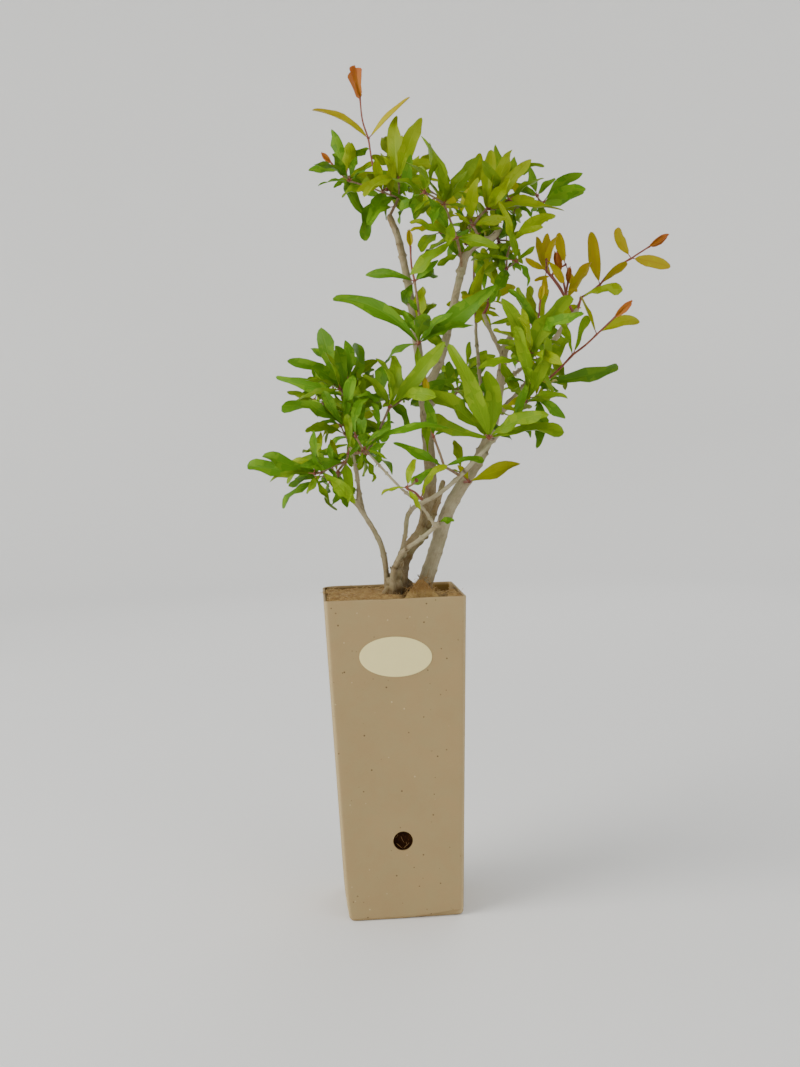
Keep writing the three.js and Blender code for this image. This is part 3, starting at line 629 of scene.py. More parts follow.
class Obstacles:
    """Balls that anything growing keeps clear of."""

    LIMB_OWNER = -1
    ROOM = 60000

    def __init__(self):
        self.rows = np.zeros((self.ROOM, 6))
        self.count = 0

    def add(self, centre, radius, owner, wood):
        self.rows[self.count] = (*centre, radius, owner, wood)
        self.count += 1

    def clear_of(self, centres, radius, owner, margins):
        """True if balls of this radius at the centres keep the margins."""
        low = centres.min(axis=0) - WIDEST_MARGIN
        high = centres.max(axis=0) + WIDEST_MARGIN
        rows = self.rows[:self.count]
        rows = rows[((rows[:, :3] > low) & (rows[:, :3] < high)).all(axis=1)]
        own = np.where(rows[:, 5] > 0, margins.twigs, margins.leaves)
        margin = np.where(rows[:, 4] == owner, own, margins.others)
        margin = np.where(rows[:, 4] == self.LIMB_OWNER, margins.limbs, margin)
        least = radius + rows[:, 3] + margin
        apart = ((centres[:, None, :] - rows[None, :, :3]) ** 2).sum(axis=2)
        return bool((apart >= least * least).all())


class Leaf(NamedTuple):
    """A leaf: its foot, the way it runs, its size, the way its face looks, and its bend."""

    foot: np.ndarray
    along: np.ndarray
    length: float
    width: float
    upwards: np.ndarray
    sideways: np.ndarray
    arch: float
    fold: float
    tint: str


class Twig(NamedTuple):
    run: list
    foot: float
    tip: float
    tint: str


class Growth:
    """What one mass has grown so far."""

    def __init__(self, index, row, obstacles):
        self.index = index
        self.row = row
        self.obstacles = obstacles
        self.random = seeded(index + 1)
        self.margins = MAIN_GROWTH
        self.twigs = []
        self.leaves = []
        self.knobs = []

    def draw_vector(self):
        return np.array([self.random(-1, 1), self.random(-1, 1), self.random(-1, 1)])

    def grow_twig(self, start, end, radius, tint):
        """A twig from one place to the next, with a slight bow."""
        length = math.dist(start, end)
        middle = start + (end - start) * 0.5 + self.draw_vector() * (length * TWIG_BOW)
        run = [start, middle, end]
        self.twigs.append(Twig(run, radius, radius * TWIG_TAPER, tint))
        for centre in smooth_run(run, 5):
            self.obstacles.add(centre, radius, self.index, 1)

    def grow_twigs(self, limb_run):
        places = [np.array(n.at, float) for n in self.row.nodes]
        for n, place in zip(self.row.nodes, places):
            on_limb = n.origin == LIMB
            start = min(limb_run, key=lambda p: math.dist(p, place)) if on_limb else places[n.origin]
            radius = TWIG_RADIUS * TWIG_TAPER ** (n.origin + 1)
            self.grow_twig(start, place, max(TWIG_RADIUS_LEAST, radius), n.tint)

    def grow_leaves(self):
        for i, n in enumerate(self.row.nodes):
            place = np.array(n.at, float)
            if n.bud:
                self.grow_bud(self.twigs[i], n.bud)
            else:
                self.knobs.append((place, n.tint))
            for heading, length in n.leaves:
                self.try_leaf(place, heading, length, n.tint)

    def grow_bud(self, twig, length):
        """Two folded leaves that stand almost shut at the end of a twig."""
        heading = unit(twig.run[2] - twig.run[0])
        foot = twig.run[2] - heading * BUD_SINK
        for side in (-1, 1):
            apart = np.array([0.05, -0.07, 0.01]) * side
            face = np.array([side, side * -0.6, 0.1])
            leaf = leaf_from(foot, unit(heading + apart), length, face, self.random, "red")
            self.leaves.append(leaf._replace(fold=BUD_FOLD, arch=BUD_ARCH))

    def try_leaf(self, foot, heading, length, tint, leans=LEAF_LEANS):
        """Tries a leaf at each lean in turn, and keeps the first that stays clear."""
        random = self.random
        outwards = -1 if foot[1] < CROWN_MIDDLE else 1
        face = np.array([random(-0.5, 0.5), outwards * random(0.6, 1.2), random(0.2, 0.9)])
        turn = random(-4, 4)
        stretch = random(0.97, 1.03)
        flip = 1 if random(0, 1) < 0.5 else -1
        for lean in leans:
            along = direction(heading + turn, lean * flip)
            reach = (length * stretch) / math.cos(math.radians(lean))
            if self.margins is FINE_GROWTH:
                reach = min(reach, FINE_LONGEST)
            leaf = leaf_from(foot, along, reach, face, random, tint)
            balls = leaf_balls(leaf)
            if self.margins is FINE_GROWTH and ((balls < FINE_LOW) | (balls > FINE_HIGH)).any():
                continue
            if self.obstacles.clear_of(balls, LEAF_BALL_RADIUS, self.index, self.margins):
                for ball in balls:
                    self.obstacles.add(ball, LEAF_BALL_RADIUS, self.index, 0)
                self.leaves.append(leaf)
                return

    def grow_spurs(self):
        for n in self.row.nodes:
            if n.spur:
                side = 1 if self.random(0, 1) < 0.5 else -1
                self.try_spur(MAIN_SPURS, np.array(n.at, float), n.tint, side, n.spur)

    def try_spur(self, spurs, foot, tint, side=1, leaf_count=0):
        """Tries a spur at each lean in turn, and gives the first that stays clear a whorl of
        leaves, of a drawn number if none is given."""
        for lean in SPUR_LEANS:
            along = direction(self.random(-spurs.turn, spurs.turn), lean * spurs.tilt * side)
            end = foot + along * self.random(*spurs.lengths)
            balls = np.array(smooth_run([foot, end], 4)[SPUR_BALLS_FROM:])
            if not self.obstacles.clear_of(balls, spurs.radius, self.index, self.margins):
                continue
            self.grow_twig(foot, end, spurs.radius, tint)
            self.knobs.append((end, tint))
            for i in range(leaf_count or int(self.random(*DRAWN_SPUR_LEAVES))):
                heading = i * WHORL_TURN + self.random(-20, 20)
                self.try_leaf(end, heading, self.random(*spurs.leaf_lengths), tint)
            return


def direction(heading, lean):
    """The way that a heading and a lean away from the viewer give, both in degrees."""
    across = math.cos(math.radians(lean))
    turn = math.radians(heading)
    return np.array([math.sin(turn) * across, math.sin(math.radians(lean)), math.cos(turn) * across])


def leaf_from(foot, along, length, face, random, tint):
    width = (LEAF_WIDTH_BASE + LEAF_WIDTH * length) * random(*LEAF_WIDTH_RANGE)
    upwards = unit(face - along * float(face @ along))
    sideways = np.cross(along, upwards)
    arch = random(*LEAF_ARCHES)
    fold = random(*LEAF_FOLDS)
    return Leaf(foot, along, length, width, upwards, sideways, arch, fold, tint)


def leaf_balls(leaf):
    """The middle and both edges of a leaf, by which growing pieces are kept clear of one another."""
    balls = []
    for share in LEAF_BALL_SHARES:
        half = leaf.width * 0.5 * abs(math.sin(math.pi * share**1.25)) ** 0.6
        for side in (-1, 0, 1):
            rise = leaf.length * leaf.arch * 4 * share * (1 - share) + abs(side) * half * leaf.fold
            balls.append(
                leaf.foot
                + leaf.along * (leaf.length * share)
                + leaf.upwards * rise
                + leaf.sideways * (side * half)
            )
    return np.array(balls)


def limb_radii(limb, run):
    last = len(run) - 1
    radii = []
    for i, point in enumerate(run):
        taper = limb.foot + ((limb.tip - limb.foot) * i) / last
        flare = ROOT_FLARE * math.exp(-(point[2] - SOIL_TOP) / FLARE_HEIGHT) if limb.is_stem else 0
        radii.append(taper * (1 + flare))
    return radii


def grow_foliage():
    """Grows every mass as the solids do."""
    obstacles = Obstacles()
    runs = {limb.name: smooth_run(limb.path, 2) for limb in LIMBS}
    for limb in LIMBS:
        run = smooth_run(limb.path, 6)
        for centre, radius in zip(run, limb_radii(limb, run)):
            obstacles.add(centre, radius, Obstacles.LIMB_OWNER, 1)
    grown = [Growth(i, row, obstacles) for i, row in enumerate(MASSES)]
    for growth in grown:
        growth.grow_twigs(runs[growth.row.limb])
    for growth in grown:
        growth.grow_leaves()
    for growth in grown:
        growth.grow_spurs()
    return grown


# ---- finer growth

FULL_GROWN = ("green", "yellow")
FINE_LEAF_LENGTHS = (15, 36)
FINE_LEAF_LEANS = (48, -48, 30, -30, 64, -64, 12, -12)
PAIR_LEAF_LENGTHS = (12, 24)
PAIR_LEAST_TWIG = 13
SCALE_LEAF_LENGTHS = (4, 9)
LOW_LEAF_SHARE = 0.52
HANGING = -0.35  # a leaf that falls more steeply than this hangs


def carry_on(growth, foliage):
    """Takes a mass on to finer twigs and smaller leaves, inside the same reach."""
    growth.random = seeded((growth.index + 1) * FINE_SEED_STEP + FINE_SEED)
    growth.margins = FINE_GROWTH
    random = growth.random
    is_open = "open" in growth.row.marks
    for twig in () if is_open else list(growth.twigs):
        if twig.tint in FULL_GROWN and math.dist(twig.run[0], twig.run[2]) > PAIR_LEAST_TWIG:
            heading = random(0, 360)
            for turn in (0, 180):
                growth.try_leaf(twig.run[1], heading + turn, random(*PAIR_LEAF_LENGTHS), twig.tint)
    for foot, tint in list(growth.knobs):
        growth.try_leaf(foot, random(0, 360), random(*SCALE_LEAF_LENGTHS), tint)
        if tint not in FULL_GROWN or is_open:
            continue
        start = random(0, 360)
        for i in range(foliage.fill_leaves):
            heading = start + i * WHORL_TURN
            growth.try_leaf(foot, heading, random(*FINE_LEAF_LENGTHS), tint, FINE_LEAF_LEANS)
        if random(0, 1) < foliage.spur_share:
            growth.try_spur(FINE_SPURS, foot, tint)


# A single small leaf at the fork of the front stem: its mass, foot, direction, length and width.
LONE_LEAF = ("leaves_front_low", (32.3, -38, 283.4), (1, -0.2, 0.1), 12, 5.6)


def finish_front(growth):
    """Shortens the leaf that hangs from the front bough, and adds the one at its fork."""
    mass, foot, along, length, width = LONE_LEAF
    if growth.row.name == mass:
        for i, leaf in enumerate(growth.leaves):
            if leaf.along[2] < HANGING:
                growth.leaves[i] = leaf._replace(length=leaf.length * LOW_LEAF_SHARE)
        face = np.array([0.3, -0.8, 1])
        leaf = leaf_from(np.array(foot), unit(np.array(along)), length, face, growth.random, "dark")
        growth.leaves.append(leaf._replace(width=width))


# ---- leaves as meshes

BLADE_SHARES = np.array([0, 0.1, 0.22, 0.35, 0.49, 0.63, 0.76, 0.86, 0.93, 0.975])
BLADE_ACROSS = np.array([-1, -0.5, 0, 0.5, 1])
RING = len(BLADE_ACROSS) + 1
PETIOLE_LENGTHS = (1.8, 4.4)
PETIOLE_MOST = 0.16
PETIOLE_RADII = (0.5, 0.34)
BLADE_FOOT_HALF_WIDTH = 0.3
MIDRIB_DEPTH = (0.3, 0.008)
BLADE_TWIST = 42
WIDEST_SHARE = 0.275
WIDE_UP_TO = 52  # a leaf longer than this grows no wider
BUD_FOLD = -0.8
BUD_ARCH = 0.05
RAGS_PER_WAVE = 1.15
PARTNER_TURN = 130
PARTNER_LENGTH = 0.92


class BladeFamily(NamedTuple):
    """A shape of blade: its widths at BLADE_SHARES as shares of the widest, then the ranges that
    its leaves are drawn from."""

    outline: tuple
    slimness: tuple
    wave: tuple
    ragged: tuple
    sweep: float
    droop: tuple


POINTED = BladeFamily(
    (0.03, 0.3, 0.64, 0.91, 1, 0.94, 0.78, 0.57, 0.36, 0.18),
    (0.88, 1.16), (0.1, 0.26), (0.05, 0.16), 0.08, (-0.06, 0.18),
)
SPOON = BladeFamily(
    (0.05, 0.2, 0.33, 0.5, 0.72, 0.92, 1, 0.94, 0.74, 0.46),
    (0.84, 1.18), (0.14, 0.36), (0.1, 0.26), 0.09, (-0.05, 0.32),
)
FINGER = BladeFamily(
    (0.06, 0.36, 0.7, 0.94, 1, 0.87, 0.7, 0.6, 0.5, 0.35),
    (0.86, 1.14), (0.14, 0.36), (0.1, 0.26), 0.09, (-0.05, 0.28),
)
STRAP = BladeFamily(
    (0.06, 0.4, 0.72, 0.92, 1, 1, 0.93, 0.78, 0.58, 0.36),
    (0.76, 0.98), (0.03, 0.12), (0.01, 0.06), 0.06, (-0.05, 0.12),
)
SMALL_BUD = BladeFamily(
    (0.3, 0.55, 0.8, 0.95, 1, 0.94, 0.78, 0.58, 0.38, 0.2),
    (0.26, 0.34), (0, 0.03), (0, 0.06), 0, (0, 0),
)
LONG_BUD = BladeFamily(
    (0.14, 0.44, 0.54, 0.62, 0.72, 0.84, 0.95, 1, 0.8, 0.42),
    (0.34, 0.38), (0, 0.03), (0, 0.06), 0, (0, 0),
)
LONG_BUD_LENGTH = 20

FINGER_SHARE = 0.35


class BladeShape(NamedTuple):
    """What makes each blade a little different from the next."""

    outline: tuple
    shift: float
    fullness: float
    slimness: float
    petiole: float
    wave: float
    ragged: float
    waves: float
    phases: tuple
    twist: float
    sweep: float
    droop: float
    tone: float


def blade_family(random, leaf, mass):
    if leaf.tint == "red":
        return LONG_BUD if leaf.length > LONG_BUD_LENGTH else SMALL_BUD
    share = random(0, 1)
    if leaf.tint in ("bronze", "orange"):
        return STRAP
    if share < mass.pointed:
        return POINTED
    return FINGER if share < mass.pointed + FINGER_SHARE else SPOON


def draw_blade(random, leaf, mass):
    family = blade_family(random, leaf, mass)
    widest = WIDEST_SHARE * random(0.8, 1.1) * min(leaf.length, WIDE_UP_TO) / leaf.width
    if leaf.tint == "dark":
        widest = 2.0
    slimness = random(*family.slimness)
    side, turned = mass.turned
    if leaf.along[0] * side > 0.5:
        slimness *= turned
    is_bud = leaf.tint == "red"
    return BladeShape(
        outline=family.outline,
        shift=random(0.86, 1.2),
        fullness=random(0.8, 1.15),
        slimness=slimness * leaf.length / leaf.width if is_bud else min(slimness, widest),
        petiole=min(random(*PETIOLE_LENGTHS) / leaf.length, PETIOLE_MOST),
        wave=random(*family.wave),
        ragged=random(*family.ragged),
        waves=random(1.1, 2.5),
        phases=(random(0, 1), random(0, 1)),
        twist=0 if is_bud else math.radians(random(-BLADE_TWIST, BLADE_TWIST)),
        sweep=random(-family.sweep, family.sweep),
        droop=random(*family.droop),
        tone=random(0, 1),
    )


def bud_partner(leaf):
    """The second leaf of a bud, a little shorter and turned part of the way round the first."""
    turn = math.radians(PARTNER_TURN)
    sideways = leaf.sideways * math.cos(turn) + leaf.upwards * math.sin(turn)
    upwards = leaf.upwards * math.cos(turn) - leaf.sideways * math.sin(turn)
    return leaf._replace(length=leaf.length * PARTNER_LENGTH, sideways=sideways, upwards=upwards)


def centre_line(leaf, shape, shares):
    """Points along the middle of a leaf, from its foot out to its tip."""
    rise = leaf.length * (leaf.arch * 4 * shares * (1 - shares) - shape.droop * shares**3)
    return (
        leaf.foot
        + np.outer(shares * leaf.length, leaf.along)
        + np.outer(rise, leaf.upwards)
        + np.outer(leaf.length * shape.sweep * 4 * shares * (1 - shares), leaf.sideways)
    )


def blade_mesh(leaf, shape):
    """Corners and texture places of a blade: rings of five upper corners and a midrib below."""
    shares = BLADE_SHARES
    width = leaf.width * shape.slimness
    swell = np.interp(shares**shape.shift, shares, shape.outline) ** shape.fullness
    half = BLADE_FOOT_HALF_WIDTH * (1 - shares) + width * 0.5 * swell
    middle = centre_line(leaf, shape, shape.petiole + (1 - shape.petiole) * shares)
    across = BLADE_ACROSS
    phase = np.where(across < 0, shape.phases[0], shape.phases[1])
    turn = 2 * np.pi * (shape.waves * shares[:, None] + phase[None, :])
    ruffle = np.sin(turn) * np.abs(across) ** 1.6
    reach = half[:, None] * across * (
        1 + shape.ragged * np.cos(turn * RAGS_PER_WAVE) * np.abs(across)
    )
    fold = leaf.fold * half[:, None] * np.abs(across) ** 1.3
    rise = fold + width * shape.wave * swell[:, None] * ruffle
    angle = (shape.twist * shares)[:, None]
    side_part = reach * np.cos(angle) - rise * np.sin(angle)
    up_part = reach * np.sin(angle) + rise * np.cos(angle)
    top = middle[:, None, :] + side_part[..., None] * leaf.sideways + up_part[..., None] * leaf.upwards
    depth = (MIDRIB_DEPTH[0] + MIDRIB_DEPTH[1] * leaf.length) * (1.1 - shares)
    under = middle - np.outer(depth, leaf.upwards)
    rings = np.concatenate([top, under[:, None, :]], axis=1)
    tip = centre_line(leaf, shape, np.array([1.0]))
    return np.concatenate([rings.reshape(-1, 3), tip])


def blade_faces():
    """Faces of one blade by corner number, each with its material: 0 upper face, 1 underside."""
    levels = len(BLADE_SHARES) - 1
    faces = faces_between(RING, levels)
    last = levels * RING
    faces += [(last + i, last + (i + 1) % RING, last + RING) for i in range(RING)]
    faces.append(tuple(reversed(range(RING))))
    round_it = [0] * (RING - 2) + [1] * 2
    return faces, round_it * (levels + 1) + [1]


def leaf_piece(name, blades, materials):
    """All leaves of one tint as one mesh, with their upper faces and undersides."""
    one_face, one_side = blade_faces()
    places = []
    for share in BLADE_SHARES:
        places += [(share, (x + 1) / 2) for x in BLADE_ACROSS] + [(share, 0.5)]
    places.append((1.0, 0.5))
    count = len(places)
    corners = np.concatenate([blade_mesh(leaf, shape) for leaf, shape in blades])
    faces = []
    for i in range(len(blades)):
        faces += [tuple(i * count + c for c in face) for face in one_face]
    piece = mesh_object(name, corners, faces, materials)
    mesh = piece.data
    mesh.polygons.foreach_set("material_index", one_side * len(blades))
    uv = mesh.uv_layers.new(name="blade")
    loops = np.empty(len(mesh.loops), dtype=np.int64)
    mesh.loops.foreach_get("vertex_index", loops)
    uv.data.foreach_set("uv", np.array(places)[loops % count].ravel())
    note(mesh, "tone", np.repeat([shape.tone for _, shape in blades], count))
    set_sharp(piece, 62)
    return piece


# ---- twigs by Geometry Nodes


def skinned(name, lines, material, sides):
    """A piece with a round skin over lines; each line is its points and their radii. Its nodes
    sweep a ring along each line, as wide as the radius noted at each point."""
    corners = []
    edges = []
    radii = []
    for run, run_radii in lines:
        first = len(corners)
        corners += [np.asarray(point) * MM for point in run]
        edges += [(first + i, first + i + 1) for i in range(len(run) - 1)]
        radii += [radius * MM for radius in run_radii]
    mesh = bpy.data.meshes.new(name)
    mesh.from_pydata(corners, edges, [])
    note(mesh, "radius", radii)
    piece = in_scene(name, mesh)
    tree, given, keys = node_group(f"{name} skin", (
        ("Sides", "Int", 6),
        ("Thickness", "Float", 1.0),
    ))
    curve = add_node(tree, "GeometryNodeMeshToCurve", given["Geometry"])
    radius = add_node(tree, "GeometryNodeInputNamedAttribute", Name="radius")
    thick = add_node(tree, "ShaderNodeMath", radius, given["Thickness"], operation="MULTIPLY")
    ring = add_node(tree, "GeometryNodeCurvePrimitiveCircle", Resolution=given["Sides"], Radius=1.0)
    skin = add_node(
        tree, "GeometryNodeCurveToMesh", Curve=curve, Profile_Curve=ring, Scale=thick, Fill_Caps=True
    )
    smooth = add_node(tree, "GeometryNodeSetShadeSmooth", skin)
    run_nodes(piece, tree, keys, smooth, material, {"Sides": sides})
    return piece


def twig_line(twig, random):
    """A twig's run and radii, with a swelling where it ends and a slight unevenness."""
    run = smooth_run(twig.run, 5)
    last = len(run) - 1
    radii = []
    for i in range(last + 1):
        radius = twig.foot + (twig.tip - twig.foot) * i / last
        radius *= 1 + 0.35 * max(0, i - last + 1.5) / 1.5
        radii.append(radius * random(0.94, 1.06))
    return run, radii


def petiole_line(leaf, shape):
    """A leaf's stalk, from inside its knob out to where the blade starts."""
    shares = np.array([0, 0.5, 1.15]) * shape.petiole
    run = list(centre_line(leaf, shape, shares))
    return run, [PETIOLE_RADII[0], sum(PETIOLE_RADII) / 2, PETIOLE_RADII[1]]


def ball(shape, place_mm, radius, stretch, fineness, turn=Matrix()):
    """Adds a ball to a bmesh, longer or shorter upwards by a stretch, and turned."""
    size = Matrix.Diagonal((radius * MM, radius * MM, radius * stretch * MM, 1))
    move = Matrix.Translation(Vector(place_mm) * MM)
    bmesh.ops.create_icosphere(shape, subdivisions=fineness, radius=1, matrix=move @ turn @ size)


def knob_piece(name, knobs, material):
    """The swellings that whorls of leaves stand on."""
    shape = bmesh.new()
    random = seeded(KNOB_SEED)
    for place, radius in knobs:
        turn = Matrix.Rotation(random(0, 6.28), 4, Vector((random(-1, 1), random(-1, 1), 1)))
        ball(shape, place, radius, 1.25, 1, turn)
    piece = shape_object(name, shape)
    piece.data.shade_smooth()
    piece.data.materials.append(material)
    return piece


# ---- bark

BARK_SIDES = 20
BARK_STEPS = 14
BARK_VOXEL = 0.68
BARK_SOFTENING = 2
COLLAR_RISE = 0.4
COLLAR_REACH = 2.4
FIRST_NODES = (6, 16)
LAST_NODE = 4
NODE_SPACING = (9, 19)
NODE_RISE = 0.11
NODE_REACH = 1.3
SCAR_RADIUS = 0.85
SCAR_RISE = 0.8
RELIEF_FINE = 0.15
RELIEF_BROAD = 0.3
RIDGE_SIZE = 0.75
HOLLOW_SIZE = 4.2
OVAL_TWIST = 40
GRAIN_STRETCH = 4
RING_OFF = 1.1
RING_HALF_HEIGHT = 1.2
FOOT_DARKER = 0.9
FOOT_DARK_HEIGHT = 16
NEAR_LIMBS = 10
TONE_ROUNDS = 110

# Dead snags and lumps of old wood about the foot: two places, two radii, tone.
SNAGS = (
    ((3, -5, 244), (-0.6, -6.6, 250.4), 1.7, 0.7, 0.35),
    ((0, -5, 239), (-4.6, -7, 244.8), 1.7, 0.8, 0.4),
    ((-1, -5, 236), (-4.8, -7, 239.4), 1.5, 0.9, 0.4),
    ((25, 13, 236), (20.4, 9.4, 242), 1.3, 0.4, 0.3),
    ((21, 10, 230), (15.8, 5, 236.4), 1.5, 0.6, 0.2),
    ((27, 11, 230), (31.4, 4, 237), 1.6, 0.4, 0.1),
    ((33.4, 14, 250), (30.2, 11.6, 257.6), 2.6, 1.7, 0.7),
    ((30.4, 11.4, 256.6), (31, 11, 262.4), 0.7, 0.3, 0.3),
    ((14.6, -18, 289), (14.6, -21, 292), 1.9, 1.3, 0.6),
    ((14.4, -21, 291), (14.8, -22, 296.4), 0.8, 0.3, 0.2),
    ((30.6, -37.6, 279.6), (35.4, -39.4, 280), 1.5, 0.6, 0.12),
    ((31, -38, 280), (33, -39.4, 284), 1.3, 0.5, 0.3),
    ((-24, -28, 297), (-27, -31, 299), 1.6, 0.7, 0.4),
)

# The swollen stool that the stems rise from: place, radius.
STOOL = (
    ((2, -3, 233), 5.6), ((6, 1, 226), 8.2), ((8, -3, 239), 4.6), ((2, -8, 226), 6.2),
    ((11, 3, 233), 6.4), ((-1, -5, 241), 3.7), ((-2, -8, 229), 5.6), ((2, -11, 231), 5),
    ((6, -5, 234), 5.6), ((8, 0, 243), 5.2), ((-1.4, -12, 233), 3.6), ((-1.4, -13, 240), 2.8),
    ((3.6, -13, 237), 4.4), ((4.2, -13, 245), 4), ((5.8, -14.5, 253), 3.6), ((8.6, -17, 260), 3),
    ((22, 13, 226), 7.6), ((14, 9, 222.5), 6), ((31, -38, 281), 2.3), ((29, 8, 380), 4.6),
    ((33, 5, 371), 4.4),
)


def bark_rings(limb, random):
    """Rings of bark along a limb, with a collar, swollen nodes and an uneven outline."""
    run = smooth_run(limb.path, BARK_STEPS)
    radii = limb_radii(limb, run)
    at_foot, at_tip = limb.slimness
    radii = [r * (at_foot + (at_tip - at_foot) * i / len(run)) for i, r in enumerate(radii)]
    lengths = [0.0]
    for before, after in zip(run, run[1:]):
        lengths.append(lengths[-1] + math.dist(before, after))
    nodes = []
    reach = random(*FIRST_NODES)
    while reach < lengths[-1] - LAST_NODE:
        nodes.append(reach)
        reach += random(*NODE_SPACING)
    for i, length in enumerate(lengths):
        swell = sum(NODE_RISE * math.exp(-(((length - at) / NODE_REACH) ** 2)) for at in nodes)
        collar = 0 if limb.is_stem else COLLAR_RISE * math.exp(-length / COLLAR_REACH)
        radii[i] *= 1 + swell + collar
    rings = tube(run, radii, BARK_SIDES)
    phase = random(0, 6.28)
    for i, ring in enumerate(rings):
        for k in range(BARK_SIDES):
            turn = 2 * math.pi * k / BARK_SIDES
            lean = lengths[i] / OVAL_TWIST
            uneven = 0.05 * math.cos(2 * turn + phase + lean) + 0.03 * math.cos(3 * turn - lean * 2)
            ring[k] = run[i] + (ring[k] - run[i]) * (1 + uneven)
    tip = run[-1]
    heading = unit(tip - run[-2])
    if limb.cut:
        across = unit(np.cross(heading, (0, 0.6, 1)))
        rings[-1] = [c + heading * limb.cut * float((c - tip) @ across) for c in rings[-1]]
    else:
        for share, out in ((0.8, 0.35), (0.4, 0.6)):
            rise = heading * radii[-1] * out
            rings.append([tip + (c - tip) * share + rise for c in rings[-1]])
    scars = [(at, random(0, 6.28)) for at in nodes]
    return run, radii, lengths, rings, scars


def scar_tubes(run, radii, lengths, scars):
    """Old bud scars: short blunt stubs that just break the bark at each node, in pairs."""
    stubs = []
    for at, turn in scars:
        i = min(range(len(lengths)), key=lambda n: abs(lengths[n] - at))
        along = unit(run[min(i + 1, len(run) - 1)] - run[i - 1])
        side = unit(np.cross(along, (math.cos(turn), math.sin(turn), 0.3)))
        for way in (1, -1):
            tip = run[i] + side * way * (radii[i] + SCAR_RISE) + along * 0.8
            stubs.append(([run[i], tip], [SCAR_RADIUS, SCAR_RADIUS * 0.8]))
    return stubs


def add_rings(shape, rings):
    """Adds a closed skin through rings of corners in millimetres to a bmesh."""
    corners, faces = loft(rings)
    made = [shape.verts.new(corner * MM) for corner in corners]
    for face in faces:
        shape.faces.new([made[i] for i in face])


def build_bark(bark_material, cut_material):
    """One skin over every stem, bough, stub and snag, with the relief of its bark."""
    random = seeded(BARK_SEED)
    shape = bmesh.new()
    samples = []
    cuts = []
    for limb in LIMBS:
        run, radii, lengths, rings, scars = bark_rings(limb, random)
        add_rings(shape, rings)
        for stub_run, stub_radii in scar_tubes(run, radii, lengths, scars):
            add_rings(shape, tube(stub_run, stub_radii, 10))
        low_tone, high_tone = limb.tones
        for i, centre in enumerate(run):
            along = unit(run[min(i + 1, len(run) - 1)] - run[max(i - 1, 0)])
            foot_dark = FOOT_DARKER * math.exp(-max(0.0, centre[2] - SOIL_TOP) / FOOT_DARK_HEIGHT)
            tone = low_tone + (high_tone - low_tone) * i / len(run)
            off_node = min((lengths[i] - at for at, _ in scars), key=abs, default=9)
            samples.append((centre, along, lengths[i], tone * (1 - foot_dark), off_node, radii[i]))
        if limb.cut:
            cuts.append((run[-1], unit(run[-1] - run[-2]), radii[-1]))
    for foot, tip, foot_radius, tip_radius, tone in SNAGS:
        foot, tip = np.array(foot, float), np.array(tip, float)
        middle = (foot + tip) / 2 + np.array([random(-0.3, 0.3), 0, random(-0.3, 0.3)])
        radii = [foot_radius, (foot_radius + tip_radius) / 2, tip_radius]
        add_rings(shape, tube([foot, middle, tip], radii, 12))
        samples.append((tip, unit(tip - foot), 0, tone, 9, tip_radius))
        samples.append(((tip + middle) / 2, unit(tip - foot), 1.5, tone, 9, tip_radius))
    for place, radius in STOOL:
        ball(shape, place, radius, 1.15, 3)
    piece = shape_object("bark", shape)
    one_skin(piece, BARK_VOXEL, BARK_SOFTENING)
    for material in (bark_material, cut_material):
        piece.data.materials.append(material)
    add_bark_relief(piece, samples)
    mark_cuts(piece, cuts)
    piece.data.shade_smooth()
    return piece


def nearest_sample(tree, samples, corner):
    """The number of the sample whose limb's surface is nearest, not just its middle line."""
    found = tree.find_n(Vector(corner), NEAR_LIMBS)
    return min(found, key=lambda near: near[2] - samples[near[1]][5])[1]


def evened(mesh, values, rounds):
    """Runs a value of a mesh's corners into its neighbours' until its steps are soft."""
    ends = np.empty(len(mesh.edges) * 2, dtype=np.int32)
    mesh.edges.foreach_get("vertices", ends)
    ends = ends.reshape(-1, 2)
    here = np.concatenate([ends[:, 0], ends[:, 1]])
    there = np.concatenate([ends[:, 1], ends[:, 0]])
    counts = np.maximum(1, np.bincount(here, minlength=len(values)))
    for _ in range(rounds):
        values = np.bincount(here, weights=values[there], minlength=len(values)) / counts
    return values


def add_bark_relief(piece, samples):
    """Carries the run of the grain to each corner, and raises ridges and hollows along it."""
    mesh = piece.data
    corners = read_rows(mesh.vertices, "co") / MM
    normals = read_rows(mesh.vertices, "normal")
    tree = kdtree.KDTree(len(samples))
    for i, sample in enumerate(samples):
        tree.insert(Vector(sample[0]), i)
    tree.balance()
    nearest = [nearest_sample(tree, samples, corner) for corner in corners]
    columns = [np.array(column)[nearest] for column in zip(*samples)]
    centres, alongs, lengths, tones, off_nodes, _ = columns
    out = corners - centres
    reach = (out * alongs).sum(axis=1)
    across = out - alongs * reach[:, None]
    grain = across.copy()
    grain[:, 2] = (lengths + reach) / GRAIN_STRETCH + across[:, 2] * 0.2
    relief = np.array([
        RELIEF_FINE * noise.noise(Vector(g) / RIDGE_SIZE)
        + RELIEF_BROAD * noise.noise(Vector(c) / HOLLOW_SIZE)
        for g, c in zip(grain, corners)
    ])
    move_corners(mesh, corners + normals * relief[:, None])
    note(mesh, "grain", grain * MM, "FLOAT_VECTOR")
    note(mesh, "tone", evened(mesh, tones, TONE_ROUNDS))
    note(mesh, "ring", np.exp(-(((off_nodes + reach - RING_OFF) / RING_HALF_HEIGHT) ** 2)))


